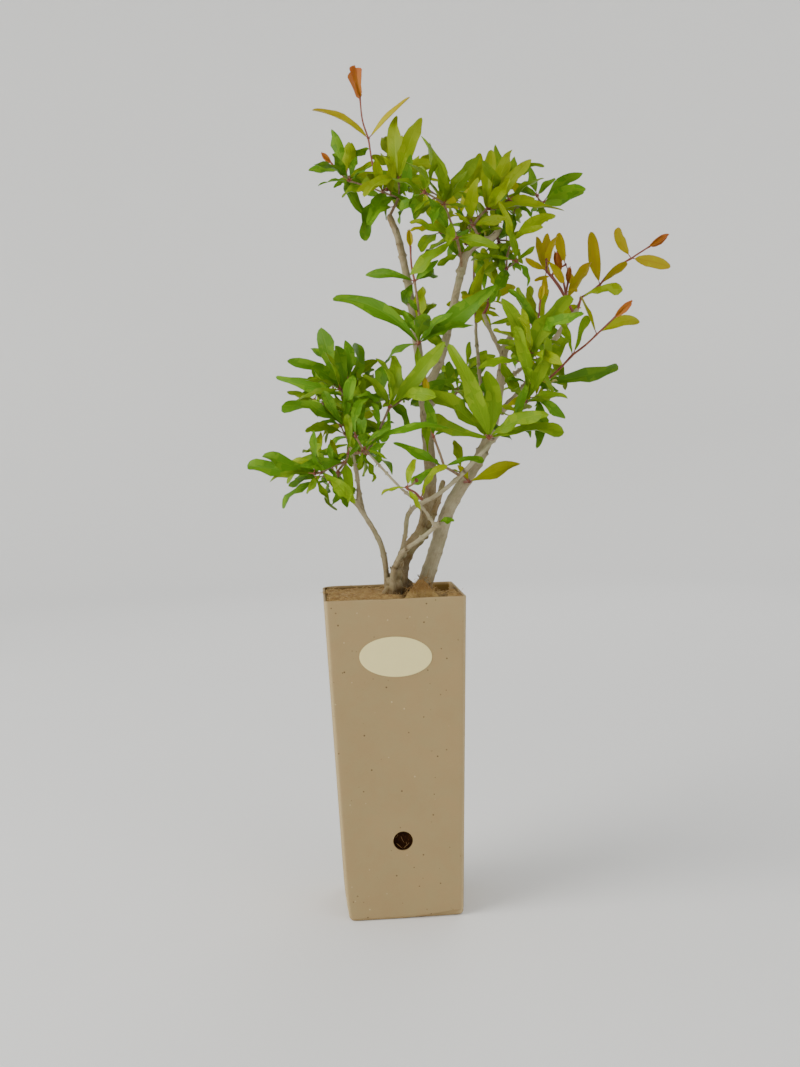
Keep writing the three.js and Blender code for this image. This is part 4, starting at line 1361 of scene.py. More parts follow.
def mark_cuts(piece, cuts):
    """Gives the faces of sawn ends the look of bare wood."""
    mesh = piece.data
    centres = read_rows(mesh.polygons, "center") / MM
    normals = read_rows(mesh.polygons, "normal")
    bare = np.zeros(len(centres), dtype=np.int32)
    for place, heading, radius in cuts:
        near = np.linalg.norm(centres - place, axis=1) < radius * 1.6
        bare[near & (normals @ heading > 0.6)] = 1
    mesh.polygons.foreach_set("material_index", bare)


# ---- the cardboard sleeve

POT_TOP = 100
POT_FOOT = 84
POT_HEIGHT = 231.5
POT_WALL = 1.6
POT_FLOOR = 1.8
POT_CORNER = 3.2
HOLE_DIAMETER = 14
HOLE_HEIGHT = 57.5
SIDE_STEPS = 34
CORNER_STEPS = 7
POT_LEVELS = 92
FOOT_LEVELS = 17
FOOT_STEP = 0.55
FOOT_TURN_IN = 0.985
RIM_ROUNDING = 0.25
PANEL_HOLLOW = 0.45
DENT_WIDTH = 38
DENT_HEIGHT = 52
DENT_DEPTH = 0.3
TUCK_FROM = -6
TUCK_RISE = 5.4
TUCK_DEPTH = 1.2
TUCK_FOLD = 0.9
FOOT_CURL = 5
FOOT_CURL_HEIGHT = 36
RIM_WEAR = 0.12
RIM_WAVE = 0.25
RIM_WAVE_LENGTH = 26
RIM_DIP = 3.2
FOLD_WEAR_WIDTH = 1.9
FOOT_ROUNDING = 1.7
FOOT_ROUNDING_HEIGHT = 3.2


def pot_width(height):
    return POT_FOOT + (POT_TOP - POT_FOOT) * height / POT_HEIGHT


def pot_ring(height, inset, corner):
    """The sleeve's outline at a height, in from its outside, with its walls a little uneven."""
    width = pot_width(height)
    half = width / 2 - inset
    flat = half - corner
    ring = []
    for quarter in range(4):
        turn = quarter * math.pi / 2
        along_x, along_y = math.cos(turn + math.pi / 2), math.sin(turn + math.pi / 2)
        out_x, out_y = math.cos(turn), math.sin(turn)
        for i in range(SIDE_STEPS):
            along = flat * (2 * i / SIDE_STEPS - 1)
            out = half - panel_hollow(quarter, along, height, width)
            ring.append((out_x * out + along_x * along, out_y * out + along_y * along))
        for i in range(CORNER_STEPS):
            angle = turn + (math.pi / 2) * i / CORNER_STEPS
            centre_x = out_x * flat + along_x * flat
            centre_y = out_y * flat + along_y * flat
            ring.append((centre_x + corner * math.cos(angle), centre_y + corner * math.sin(angle)))
    return [np.array([*shape_foot(x, y, height), height]) for x, y in ring]


def panel_hollow(quarter, along, height, width):
    side = max(0.0, 1 - (2 * along / width) ** 2)
    rise = math.sin(math.pi * min(1.0, max(0.0, height / POT_HEIGHT)))
    place = Vector((along / DENT_WIDTH + quarter * 7, height / DENT_HEIGHT, 3.1))
    dents = noise.noise(place) * DENT_DEPTH
    return side * (PANEL_HOLLOW * rise + dents * min(1.0, max(0.0, POT_HEIGHT - height) / 20))


def shape_foot(x, y, height):
    """Draws the outline in at the foot: rounded folds all round, the slanting tucked flap in front
    and the curled left wall."""
    share = max(0.0, 1 - height / FOOT_ROUNDING_HEIGHT)
    scale = 1 - FOOT_ROUNDING * share * share / (POT_FOOT / 2)
    x, y = x * scale, y * scale
    if y < 0 and x > TUCK_FROM:
        crease = TUCK_RISE * (x - TUCK_FROM) / (POT_FOOT / 2 - TUCK_FROM)
        share = min(1.0, max(0.0, (crease - height) / TUCK_FOLD))
        y += TUCK_DEPTH * share * share * (3 - 2 * share) * min(1.0, -y / 30)
    if x < 0 and height < FOOT_CURL_HEIGHT:
        curl = (1 - height / FOOT_CURL_HEIGHT) ** 2 * FOOT_CURL
        back = 0.45 + 0.55 * min(1.0, max(0.0, (y + POT_FOOT / 2) / POT_FOOT))
        x += curl * min(1.0, -x / 40) * back
    return x, y


def rim_height(x, y):
    """The sleeve's top edge, which is cut a little unevenly and dips at the back left corner."""
    wave = noise.noise(Vector((x / RIM_WAVE_LENGTH, y / RIM_WAVE_LENGTH, 0.7))) * RIM_WAVE
    dip = RIM_DIP * math.exp(-(((x + 49) / 4) ** 2) - ((y - 42) / 5) ** 2)
    return POT_HEIGHT - RIM_ROUNDING + wave - dip


def build_pot(material):
    """The sleeve: outer wall, rim, inner wall and bottom, closed, with its drainage hole cut out."""
    levels = [POT_HEIGHT * (i / POT_LEVELS) for i in range(POT_LEVELS + 1)]
    fine_foot = [i * FOOT_STEP for i in range(FOOT_LEVELS)]
    levels = fine_foot + [height for height in levels if height > fine_foot[-1] + 1]
    outer = [pot_ring(height, 0, POT_CORNER) for height in levels]
    inner_corner = POT_CORNER - POT_WALL
    inner = [pot_ring(height, POT_WALL, inner_corner) for height in levels if height > POT_FLOOR]
    inner.insert(0, pot_ring(POT_FLOOR, POT_WALL, inner_corner))
    for rings in (outer, inner):
        for corner in rings[-1]:
            corner[2] = rim_height(corner[0], corner[1])
    rims = [
        [c * (1 - t) + d * t + np.array([0, 0, RIM_ROUNDING]) for c, d in zip(outer[-1], inner[-1])]
        for t in (0.3, 0.7)
    ]
    foot_in = [c * np.array([FOOT_TURN_IN, FOOT_TURN_IN, 1]) for c in outer[0]]
    outer[0] = [c + np.array([0, 0, 0.5]) for c in outer[0]]
    rings = [foot_in, *outer, *rims, *inner[::-1]]
    piece = mesh_object("pot_sleeve", *loft(rings), [material])
    cut_hole(piece)
    mark_pot_edges(piece)
    set_sharp(piece, 40)
    return piece


def cut_hole(piece):
    """Cuts the round drainage hole through the front wall."""
    shape = bmesh.new()
    place = Vector((0, -pot_width(HOLE_HEIGHT) / 2, HOLE_HEIGHT)) * MM
    radius = HOLE_DIAMETER / 2 * MM
    bmesh.ops.create_cone(
        shape, cap_ends=True, segments=64, radius1=radius, radius2=radius, depth=20 * MM,
        matrix=Matrix.Translation(place) @ Matrix.Rotation(math.pi / 2, 4, "X"),
    )
    cutter = shape_object("hole cutter", shape)
    cut = piece.modifiers.new("Drainage hole", "BOOLEAN")
    cut.object = cutter
    make_plain(piece)
    bpy.data.meshes.remove(cutter.data)


def mark_pot_edges(piece):
    """Notes how near each corner of the mesh is to a fold or the rim, where board gets rubbed, and how
    dark it is with dampness and painted shade: the inside, and most of all the wall that looks to the
    front."""
    mesh = piece.data
    corners = read_rows(mesh.vertices, "co") / MM
    normals = read_rows(mesh.vertices, "normal")
    x, y, z = corners.T
    fold = np.exp(-(((np.abs(x) - np.abs(y)) / FOLD_WEAR_WIDTH) ** 2))
    below_rim = POT_HEIGHT - z
    # The rim is rubbed pale only towards the front; the back rim is left darker, as painted shade.
    worn = np.minimum(1, fold + np.exp(-np.maximum(0, below_rim) / 0.9) * RIM_WEAR * (y < 30))
    # Darkening inside the sleeve: partly dampness, partly painted shade, strongest on the back wall.
    inner = (normals[:, 0] * x + normals[:, 1] * y < -5) & (below_rim > 0.4)
    damp = inner * np.where((y > 0) & (normals[:, 1] < -0.6), 1.0, 0.3)
    note(mesh, "edge", worn)
    note(mesh, "damp", damp)


# ---- label, soil, felt

LABEL_WIDTH = 51
LABEL_HEIGHT = 28.5
LABEL_CENTRE = (-1, 190.5)
LABEL_GAP = 0.12
LABEL_THICKNESS = 0.28
LABEL_ROUNDS = (0.4, 0.75, 0.93, 0.985, 1.0)
LABEL_SIDES = 72
LABEL_EDGE_ROUNDING = 0.06
SOIL_GAP = 0.4
SOIL_LEVELS = 84
SOIL_CORNER = 3.4
SOIL_ROUNDS = (0.97, 0.9, 0.8, 0.7, 0.6, 0.5, 0.4, 0.3, 0.2, 0.1, 0.04)
SOIL_LUMP_SIZE = 5.5
SOIL_LUMP_RISE = 0.9
FELT_EDGE = pot_width(SOIL_TOP) / 2 - POT_WALL - 0.2
COIR_TOP = 230.2


def build_label(material, tilt):
    """The bare oval label, laid on the wall's own shape."""
    cos, sin = math.cos(tilt), math.sin(tilt)
    rings = []
    for thickness in (LABEL_THICKNESS, 0):
        for share in LABEL_ROUNDS if thickness else LABEL_ROUNDS[::-1]:
            ring = []
            for k in range(LABEL_SIDES):
                turn = -2 * math.pi * k / LABEL_SIDES
                x = math.cos(turn) * LABEL_WIDTH / 2 * share
                z = math.sin(turn) * LABEL_HEIGHT / 2 * share
                x, z = x * cos - z * sin + LABEL_CENTRE[0], x * sin + z * cos + LABEL_CENTRE[1]
                width = pot_width(z)
                wall = width / 2 - panel_hollow(3, x, z, width)
                edge = LABEL_EDGE_ROUNDING if share == 1.0 and thickness else 0
                ring.append(np.array([x, -(wall + LABEL_GAP + thickness - edge), z]))
            rings.append(ring)
    piece = mesh_object("label_paper", *loft(rings), [material])
    set_sharp(piece, 50)
    return piece


def build_soil(material):
    """The root ball: crumbly compost with a lumpy top, filling the sleeve."""
    span = SOIL_TOP - POT_FLOOR - 2 * SOIL_GAP
    levels = [POT_FLOOR + SOIL_GAP + span * i / SOIL_LEVELS for i in range(SOIL_LEVELS + 1)]
    rings = [pot_ring(height, POT_WALL + SOIL_GAP, SOIL_CORNER) for height in levels]
    crown = rings[-1]
    for share in SOIL_ROUNDS:
        rings.append([c * np.array([share, share, 1]) for c in crown])
    corners, faces = loft(rings)
    for corner in corners:
        lump = noise.fractal(Vector(corner / SOIL_LUMP_SIZE), 1.0, 2.0, 3) * SOIL_LUMP_RISE
        if corner[2] > SOIL_TOP - 1:
            corner[2] += lump * 0.8
        elif corner[2] > POT_FLOOR + 1:
            corner[:2] *= 1 - (0.6 + lump) / (POT_TOP * 0.46)
    return mesh_object("root_ball_soil", corners, faces, [material])


MAT_OUTLINE = (
    (-FELT_EDGE, -FELT_EDGE + 4), (-FELT_EDGE + 4, -FELT_EDGE), (2, -FELT_EDGE), (4, -30),
    (6, -14), (15, 0), (12, 26), (0, FELT_EDGE - 4), (-10, FELT_EDGE),
    (-FELT_EDGE + 4, FELT_EDGE), (-FELT_EDGE, FELT_EDGE - 4),
)
LITTER_OUTLINE = (
    (8, -FELT_EDGE + 7), (FELT_EDGE - 7, -FELT_EDGE + 7), (FELT_EDGE - 1, -8), (FELT_EDGE - 1, 20),
    (FELT_EDGE - 8, FELT_EDGE - 6), (20, FELT_EDGE - 3), (8, 20), (6, -10),
)
LITTER_RISE = 2.2
ROLL_OUTLINE = (
    (FELT_EDGE - 7, -FELT_EDGE + 3), (FELT_EDGE - 2, -FELT_EDGE + 1), (FELT_EDGE, -FELT_EDGE + 5),
    (FELT_EDGE, -8), (FELT_EDGE - 4, -4), (FELT_EDGE - 7, -12),
)
FLAP_LENGTH = 19
FLAP_WIDTH = 31
FLAP_THICKNESS = 2.4
FLAP_TILT = 62
FLAP_PLACE = (21, -21, SOIL_TOP + 1.2)
FELT_STEP = 1.4
FELT_VOXEL = 0.8
TUFT_SIZE = 2.2
TUFT_RISE = 0.42
SAG_SIZE = 9
SAG_RISE = 0.5
FELT_SHAPE = (
    (0, 0), (0, 0.8), (0.015, 0.92), (0.05, 0.98), (0.14, 1.01), (0.28, 1.02), (0.42, 1.0),
    (0.58, 0.98), (0.74, 0.97), (0.88, 0.97), (0.97, 0.97),
)
FLAP_SHAPE = (
    (0.94, 0.04), (0.6, 0), (0.3, 0), (0.1, 0.1), (0, 0.3), (0, 0.75), (0.1, 0.9), (0.3, 1),
    (0.6, 1), (0.94, 0.98),
)
FLAP_OUTLINE = (
    (-0.5, 0), (0.5, 0), (0.34, 0.42), (0.17, 0.78), (2 / FLAP_WIDTH, 1), (-2 / FLAP_WIDTH, 1),
    (-0.2, 0.7), (-0.36, 0.36),
)
FLAP_MIDDLE = 0.36
FLAP_CURL = 0.9


def resampled(outline, step):
    """Corners about one step apart along a closed outline."""
    places = []
    for i, start in enumerate(outline):
        end = outline[(i + 1) % len(outline)]
        parts = max(1, round(math.dist(start, end) / step))
        for k in range(parts):
            t = k / parts
            places.append((start[0] + (end[0] - start[0]) * t, start[1] + (end[1] - start[1]) * t))
    return places


def felt_cushion(outline, top, fall):
    """Rings of a thick felt over an outline; fall is how much lower it lies at the back."""
    edge = resampled(outline, FELT_STEP)
    middle_x = sum(x for x, _ in edge) / len(edge)
    middle_y = sum(y for _, y in edge) / len(edge)
    foot = SOIL_TOP - 1
    rings = []
    for shrink, rise in FELT_SHAPE:
        ring = []
        for x, y in edge:
            px = x + (middle_x - x) * shrink
            py = y + (middle_y - y) * shrink
            crest = top - fall * max(0.0, (py + FELT_EDGE) / (2 * FELT_EDGE))
            ring.append(np.array([px, py, foot + (crest - foot) * rise]))
        rings.append(ring)
    return rings


def flap_rings():
    """The folded corner of felt that stands up before the right stem."""
    cos, sin = math.cos(math.radians(FLAP_TILT)), math.sin(math.radians(FLAP_TILT))
    outline = resampled([(x * FLAP_WIDTH, y * FLAP_LENGTH) for x, y in FLAP_OUTLINE], FELT_STEP)
    rings = []
    for shrink, depth in FLAP_SHAPE:
        ring = []
        for x, reach in outline:
            px = x * (1 - shrink)
            pr = reach + (FLAP_LENGTH * FLAP_MIDDLE - reach) * shrink
            sunk = depth * FLAP_THICKNESS + FLAP_CURL * math.sin(math.pi * pr / FLAP_LENGTH)
            ring.append(np.array([px, pr * cos - sunk * sin, pr * sin + sunk * cos]) + FLAP_PLACE)
        rings.append(ring)
    return rings


def build_felt(material):
    """The mat, the rolled edge, the folded corner and the litter of coconut felt, matted."""
    shape = bmesh.new()
    add_rings(shape, felt_cushion(MAT_OUTLINE, COIR_TOP - 0.2, 2.6))
    add_rings(shape, felt_cushion(ROLL_OUTLINE, COIR_TOP, 3.0))
    add_rings(shape, felt_cushion(LITTER_OUTLINE, SOIL_TOP + LITTER_RISE, 0.6))
    add_rings(shape, flap_rings())
    bmesh.ops.recalc_face_normals(shape, faces=shape.faces)
    piece = shape_object("coir_felt", shape)
    one_skin(piece, FELT_VOXEL)
    mesh = piece.data
    corners = read_rows(mesh.vertices, "co") / MM
    rough = [
        TUFT_RISE * noise.fractal(Vector(place) / TUFT_SIZE, 1.0, 2.0, 3)
        + SAG_RISE * noise.noise(Vector(place) / SAG_SIZE)
        for place in corners
    ]
    move_corners(mesh, corners + read_rows(mesh.vertices, "normal") * np.array(rough)[:, None])
    mesh.materials.append(material)
    mesh.shade_smooth()
    return piece


FIBRE_SIZES = (0.45, 1.3)
FIBRE_SEED = 7
FIBRE_BEND = ((-0.5, 0, 0), (0.05, 0.34, 0.3), (0.5, -0.05, 0.06))


def strewn_fibres(name, base, material, values):
    """Bent fibres strewn over a copy of a finished piece and lying along it; the copy isn't kept."""
    tree, given, keys = node_group(f"{name} nodes", (
        ("Fibres per square metre", "Float", 4e5),
        ("Fibre length", "Float", 7 * MM),
        ("Fibre radius", "Float", 0.09 * MM),
        ("Stand", "Float", 0.35),
        ("Seed", "Int", 3),
    ))
    points = add_node(
        tree, "GeometryNodeDistributePointsOnFaces", given["Geometry"], Seed=given["Seed"],
        Density=given["Fibres per square metre"],
    )
    bend = add_node(tree, "GeometryNodeCurveQuadraticBezier", 4, *FIBRE_BEND)
    ring = add_node(tree, "GeometryNodeCurvePrimitiveCircle", Resolution=3, Radius=1.0)
    share = add_node(
        tree, "ShaderNodeMath", given["Fibre radius"], given["Fibre length"], operation="DIVIDE"
    )
    fibre = add_node(
        tree, "GeometryNodeCurveToMesh", Curve=bend, Profile_Curve=ring, Scale=share, Fill_Caps=True
    )
    spin = add_node(
        tree, "FunctionNodeRandomValue", (-1, -1, 0), (1, 1, math.tau), Seed=given["Seed"],
        data_type="FLOAT_VECTOR",
    )
    lean = add_node(tree, "ShaderNodeCombineXYZ", given["Stand"], given["Stand"], 1.0)
    stand = add_node(tree, "ShaderNodeVectorMath", spin, lean, operation="MULTIPLY")
    turned = add_node(
        tree, "FunctionNodeRotateRotation", points.outputs["Rotation"], stand, rotation_space="LOCAL"
    )
    size = add_node(tree, "FunctionNodeRandomValue", None, None, *FIBRE_SIZES, Seed=FIBRE_SEED)
    scale = add_node(
        tree, "ShaderNodeMath", size.outputs[1], given["Fibre length"], operation="MULTIPLY"
    )
    strewn = add_node(
        tree, "GeometryNodeInstanceOnPoints", points, Instance=fibre, Rotation=turned, Scale=scale
    )
    piece = in_scene(name, base.data.copy())
    run_nodes(piece, tree, keys, strewn, material, values)
    keep_in_sleeve(piece)
    return piece


def keep_in_sleeve(piece):
    """Presses whatever lies lower than the rim back from the sleeve's walls."""
    corners = read_rows(piece.data.vertices, "co") / MM
    low = corners[:, 2] < POT_HEIGHT + 0.2
    corners[low, :2] = np.clip(corners[low, :2], -FELT_EDGE, FELT_EDGE)
    move_corners(piece.data, corners)


# Roots and coir threads behind the drainage hole: places, radius.
HOLE_THREADS = (
    (((-1.6, 0.9, 3.8), (-1.1, -0.2, 2.2), (-0.4, -0.4, 0.4), (0.7, 0.8, -1.9)), 0.26),
    (((-4.6, 0.8, -2.4), (-3, -0.2, -3.6), (-1.6, -0.3, -5), (-0.4, 0.8, -6.2)), 0.18),
    (((0.6, 0.8, -6), (1.5, -0.2, -4.6), (2.9, -0.3, -3.6), (4.4, 0.7, -2.2)), 0.22),
    (((-3, 0.9, 5.2), (-3.6, 0, 3.6), (-4.8, 0, 2.2), (-5.9, 0.8, 1.6)), 0.13),
    (((2.2, 0.9, -1.6), (2.6, 0.1, -3), (1.8, 0, -4.6), (2.2, 0.8, -6)), 0.13),
)


def build_threads(material):
    """Pale roots and threads across the soil behind the drainage hole."""
    wall = -pot_width(HOLE_HEIGHT) / 2
    lines = []
    for places, radius in HOLE_THREADS:
        run = smooth_run([(x, wall + 2.4 + y, HOLE_HEIGHT + z) for x, y, z in places], 6)
        lines.append((run, [radius * (1 - 0.5 * i / len(run)) for i in range(len(run))]))
    return skinned("hole_threads", lines, material, 8)


# ---- materials

FELT_PALE_FROM = (-45, -36)
# Heights in millimetres above which the felt and its fibres take a painted shade.
FELT_SHADED_FROM = (231, 234)
VEINS_A_SIDE = 11
VEIN_SLANT = 5.5


def recycled_board(colour):
    """Recycled greyboard, pressed from waste paper: dull, fibrous, flecked with dark and pale bits,
    rubbed pale along its folds and rim, and darker on the inside, partly from dampness and partly as
    painted shade."""
    look = Finish("recycled board, pressed", darker(colour, 0.965))
    broad = look.pattern("Noise", 34, 3, 0.55)
    fibre = look.pattern("Noise", 1.1, 6, 0.7)
    chance = look.pattern("Noise", 7, 2, 0.55)
    look.lay(darker(colour, 1.035), (broad, 0.35, 0.65))
    look.lay("978A62", (look.pattern("Noise", 11, 4, 0.6), 0.4, 0.62, 0, 0.45))
    look.lay(darker(colour, 1.12), (fibre, 0.3, 0.7, 0, 0.5))
    dark = look.pattern("Voronoi", 6)
    look.lay("5E4A32", (dark, 0.07, 0.13, 1, 0), (chance, 0.44, 0.54, 0, 0.95))
    pale = look.pattern("Voronoi", 7.5)
    look.lay("CDBA8E", (pale, 0.06, 0.1, 1, 0), (chance, 0.42, 0.52, 0.55, 0))
    edge = look.node("Attribute", attribute_name="edge").outputs["Fac"]
    look.lay("BBA67C", edge, (fibre, 0.3, 0.75, 0.45, 0.95))
    # The inside is darkened, partly by dampness and partly as painted shade.
    dry_and_lit = look.tone
    look.tone = linear("4E3811")
    look.lay("6A5020", (broad, 0.35, 0.65))
    damp, look.tone = look.tone, dry_and_lit
    look.lay(damp, look.node("Attribute", attribute_name="damp").outputs["Fac"])
    height = look.node("Math", look.share(fibre, 0.7), broad, operation="ADD")
    return look.done(0.82, 0.28, height, 0.25, 0.35)


def darker(colour, share):
    """A linear colour with its lightness scaled."""
    return [min(1.0, c * share) for c in colour[:3]] + [1.0]


def label_paper(colour):
    """Coated label paper, printed plain: smooth, cream, with a faint sheen."""
    look = Finish("label paper, coated", colour)
    look.lay(darker(colour, 0.95), (look.pattern("Noise", 9, 3, 0.55), 0.3, 0.7, 0, 0.5))
    return look.done(0.5, height=look.pattern("Noise", 0.9, 4, 0.55), depth=0.05, strength=0.2)


def compost():
    """Moist peat and bark compost, crumbled: very dark brown, with paler fibres and crumbs."""
    look = Finish("potting compost, crumbled", "190A02")
    crumbs = look.pattern("Noise", 2.2, 6, 0.7)
    look.lay("341C08", (crumbs, 0.35, 0.7))
    look.lay("4C2C0E", (look.pattern("Voronoi", 2.6), 0.12, 0.2, 0.7, 0))
    return look.done(0.95, 0.08, crumbs, 1.2, 0.8)


def coconut_felt(colour):
    """Coir, needled into felt: golden brown, matted, with lighter and darker threads, paler away from
    the front wall, and darker brown above the rim, where the folded flap stands up: a painted shade."""
    look = Finish("coir felt, needled", darker(colour, 0.5))
    squash = look.node("Mapping", Vector=look.place, Scale=(0.5, 0.5, 2.2))
    threads = look.pattern("Noise", 0.9, 8, 0.75, squash)
    look.lay(darker(colour, 1.45), (threads, 0.32, 0.68))
    look.lay("BFA46A", (look.pattern("Noise", 6, 3, 0.55), 0.4, 0.6, 0, 0.6))
    look.lay("BEA266", look.past("Y", *FELT_PALE_FROM), 0.55)
    # Painted shade: darker brown above the rim, over the folded flap.
    look.lay("7C5422", look.past("Z", *FELT_SHADED_FROM), 0.7)
    return look.done(0.95, height=threads, depth=0.8, strength=0.8)


def coconut_fibre():
    """Loose coir fibres: stiff, golden to brown, each its own tone, a little shiny."""
    look = Finish("coir fibre, loose", "8C6632")
    look.lay("C9AA6C", (look.pattern("Noise", 5, 4, 0.55), 0.36, 0.64))
    # Painted shade: fibres above the rim, on the folded flap, are darker brown.
    look.lay("86602A", look.past("Z", *FELT_SHADED_FROM), 0.6)
    return look.done(0.6)


def young_bark(pale, brown):
    """Smooth young bark: grey-beige skin over brown, fine long wrinkles, small dark pores, a trace of
    green algae in patches."""
    look = Finish("pomegranate bark, smooth and young", brown)
    grain = look.node("Attribute", attribute_name="grain").outputs["Vector"]
    tone = look.node("Attribute", attribute_name="tone").outputs["Fac"]
    ring = look.node("Attribute", attribute_name="ring").outputs["Fac"]
    wrinkles = look.pattern("Noise", 0.8, 6, 0.65, grain)
    patches = look.share((look.pattern("Noise", 11, 4, 0.55), 0.3, 0.7, -0.2, 0.2))
    look.lay(pale, (look.node("Math", tone, patches, operation="ADD"), 0.0, 1.0))
    look.lay("2E2418", (tone, 0.02, 0.25, 0.85, 0))
    look.lay(darker(pale, 1.35), (wrinkles, 0.42, 0.75, 0, 0.5), (tone, 0.1, 0.6, 0.2, 1))
    hollows = look.pattern("Noise", 1.7, 5, 0.7, grain)
    look.lay(darker(brown, 0.62), (hollows, 0.28, 0.44, 0.4, 0))
    look.lay("767A50", (look.pattern("Noise", 17, 3, 0.55), 0.5, 0.68), 0.4)
    broken = look.pattern("Noise", 13, 4, 0.55)
    look.lay(darker(brown, 0.5), ring, (broken, 0.52, 0.62, 0, 0.8))
    pores = look.pattern("Voronoi", 3.1, place=grain)
    some = look.pattern("Noise", 4.5, 2, 0.55)
    look.lay("43341F", (pores, 0.1, 0.17, 0.8, 0), (some, 0.5, 0.6))
    return look.done(0.78, 0.25, wrinkles, 0.4, 0.7)


def sawn_wood():
    """Sawn, weathered ends: pale brown wood with a paler grain."""
    look = Finish("pomegranate wood, sawn", "8A6E4B")
    grain = look.pattern("Noise", 1.2, 6, 0.7)
    look.lay("C3A67C", (grain, 0.3, 0.7))
    return look.done(0.85, height=grain, depth=0.2, strength=0.5)


def twig_skin(name, dark, light):
    """The skin of a thin shoot: smooth, in two tones along its length, slightly waxy."""
    look = Finish(name, dark)
    fine = look.pattern("Noise", 2.4, 4, 0.55)
    look.lay(linear(light), (fine, 0.34, 0.66))
    return look.done(0.55, height=fine, depth=0.12, strength=0.3)


def leaf_material(name, colour, rib, roughness, rib_share, tip=None, tip_share=0.0):
    """A leaf's skin: its own tone, a midrib and faint side veins, and a tip that may drift to
    another tone. The upper face is waxed and softly glossy, the underside duller and paler."""
    look = Finish(name, darker(colour, 0.74))
    places = look.node("SeparateXYZ", look.node("UVMap", uv_map="blade")).outputs
    along = places[0]
    off_middle = look.node("Math", places[1], 0.5, operation="SUBTRACT")
    off_rib = look.node("Math", off_middle, operation="ABSOLUTE")
    look.lay(darker(colour, 1.2), look.node("Attribute", attribute_name="tone").outputs["Fac"])
    look.lay(darker(colour, 1.4), (look.pattern("Noise", 8, 3, 0.55), 0.3, 0.7, 0, 0.22))
    if tip_share:
        edge = look.share((off_rib, 0.25, 0.5, 0, 0.4))
        outer = look.share((along, 0.4, 1.05, 0, 0.8))
        look.lay(tip, look.node("Math", outer, edge, operation="ADD"), tip_share)
    steps = look.share(along, VEINS_A_SIDE)
    slant = look.node("Math", steps, look.share(off_rib, VEIN_SLANT), operation="SUBTRACT")
    wave = look.node("Math", slant, 0.5, operation="PINGPONG")
    look.lay(rib, (wave, 0, 0.1, 0.1, 0))
    look.lay(rib, (off_rib, 0.012, 0.045, rib_share, 0))
    groove = look.share((off_rib, 0, 0.07, 0, 1))
    veins = look.share((wave, 0, 0.3, 0, 0.35))
    height = look.node("Math", groove, veins, operation="ADD")
    return look.done(roughness, 0.14, height, 0.3, 0.4)


def studio_floor():
    """Matt white studio paint, rolled: even, without gloss."""
    look = Finish("studio floor, matt white", "F4F4F3")
    look.lay("F8F8F7", look.pattern("Noise", 900, 2, 0.55))
    return look.done(0.95, 0.1)


class LeafKind(NamedTuple):
    """One tint of leaf: its face, its underside, its midrib, the tone its tip drifts to and how far."""

    name: str
    common: str
    face: str
    underside: str
    rib: str
    tip: str
    tip_share: float
    slot: str


LEAF_KINDS = (
    LeafKind("deep", "deep green", "4C7608", "5E8412", "68880E", "587C08", 0.2, "leaf"),
    LeafKind("mid", "mid green", "638404", "738E12", "80980E", "768804", 0.3, "leaf"),
    LeafKind("fresh", "fresh green", "7C9404", "889A15", "98A818", "969008", 0.4, "leaf"),
    LeafKind("yellow", "yellow-green", "8E9606", "949616", "A09E1A", "9C820C", 0.5, "leaf"),
    LeafKind("bronze", "bronze", "9C9408", "9A8A12", "A07A1E", "A0661A", 0.5, "young_leaf"),
    LeafKind("orange", "orange-red", "9A601E", "98581E", "84421A", "9E4620", 0.7, "young_leaf"),
)

# For each tint in the tables, the kinds its sprays are dealt, with their shares.
DEALS = {
    "green": {"deep": 0.46, "mid": 0.46, "fresh": 0.08},
    "shaded": {"deep": 0.5, "mid": 0.5},
    # Sunny sprays are dealt lighter, yellower greens: painted light on the top of the crown.
    "sunny": {"deep": 0.14, "mid": 0.4, "fresh": 0.36, "yellow": 0.1},
    "yellow": {"fresh": 0.85, "yellow": 0.15},
    "bronze": {"yellow": 0.15, "bronze": 0.85},
    "orange": {"bronze": 1},
    "red": {"orange": 1},
    "dark": {"deep": 1},
    "fresh": {"fresh": 1},
}


def dealt(tint, mass, hangs, random):
    """The kind of leaf that a spray of this tint gets."""
    if tint == "green" and (hangs or mass.name == "leaves_centre_right"):
        tint = "shaded"
    # Painted light: green on a sunny mass is dealt lighter, yellower greens.
    if tint == "green" and "sunny" in mass.marks:
        tint = "sunny"
    if mass.name == "leaves_front_low" and tint != "dark":
        tint = "fresh"
    if tint == "red" and "olive" in mass.marks:
        tint = "orange"
    share = random(0, 1)
    for name, part in DEALS[tint].items():
        share -= part
        if share <= 0:
            break
    return name


# ---- settings


def colour_setting(name, description, colour_hex):
    """A colour that a user may change."""
    return FloatVectorProperty(
        name=name, description=description, subtype="COLOR", size=3,
        default=linear(colour_hex)[:3], min=0, max=1,
    )


class SleeveSettings(bpy.types.PropertyGroup):
    """The cardboard sleeve and its label."""

    board: colour_setting("Board", "Colour of the recycled board", "9A835C")
    label: colour_setting("Label", "Colour of the label paper", "E4D696")
    label_tilt: FloatProperty(
        name="Label tilt", description="How far the label is turned on the wall",
        subtype="ANGLE", default=math.radians(-2.6),
    )


class FeltSettings(bpy.types.PropertyGroup):
    """The coconut felt in the mouth of the sleeve."""

    colour: colour_setting("Felt", "Colour of the coconut felt", "927036")
    fibres: FloatProperty(
        name="Fibres per square metre", description="How many loose fibres lie on the felt",
        default=3.2e5, min=0,
    )
    fibre_length: FloatProperty(
        name="Fibre length", description="Length of a loose fibre", unit="LENGTH",
        default=9 * MM, min=0.001, max=0.02,
    )
    strands: FloatProperty(
        name="Strands per square metre", description="How many long strands stand out of the felt",
        default=2.6e4, min=0,
    )
    strand_length: FloatProperty(
        name="Strand length", description="Length of a long strand", unit="LENGTH",
        default=15 * MM, min=0.001, max=0.04,
    )


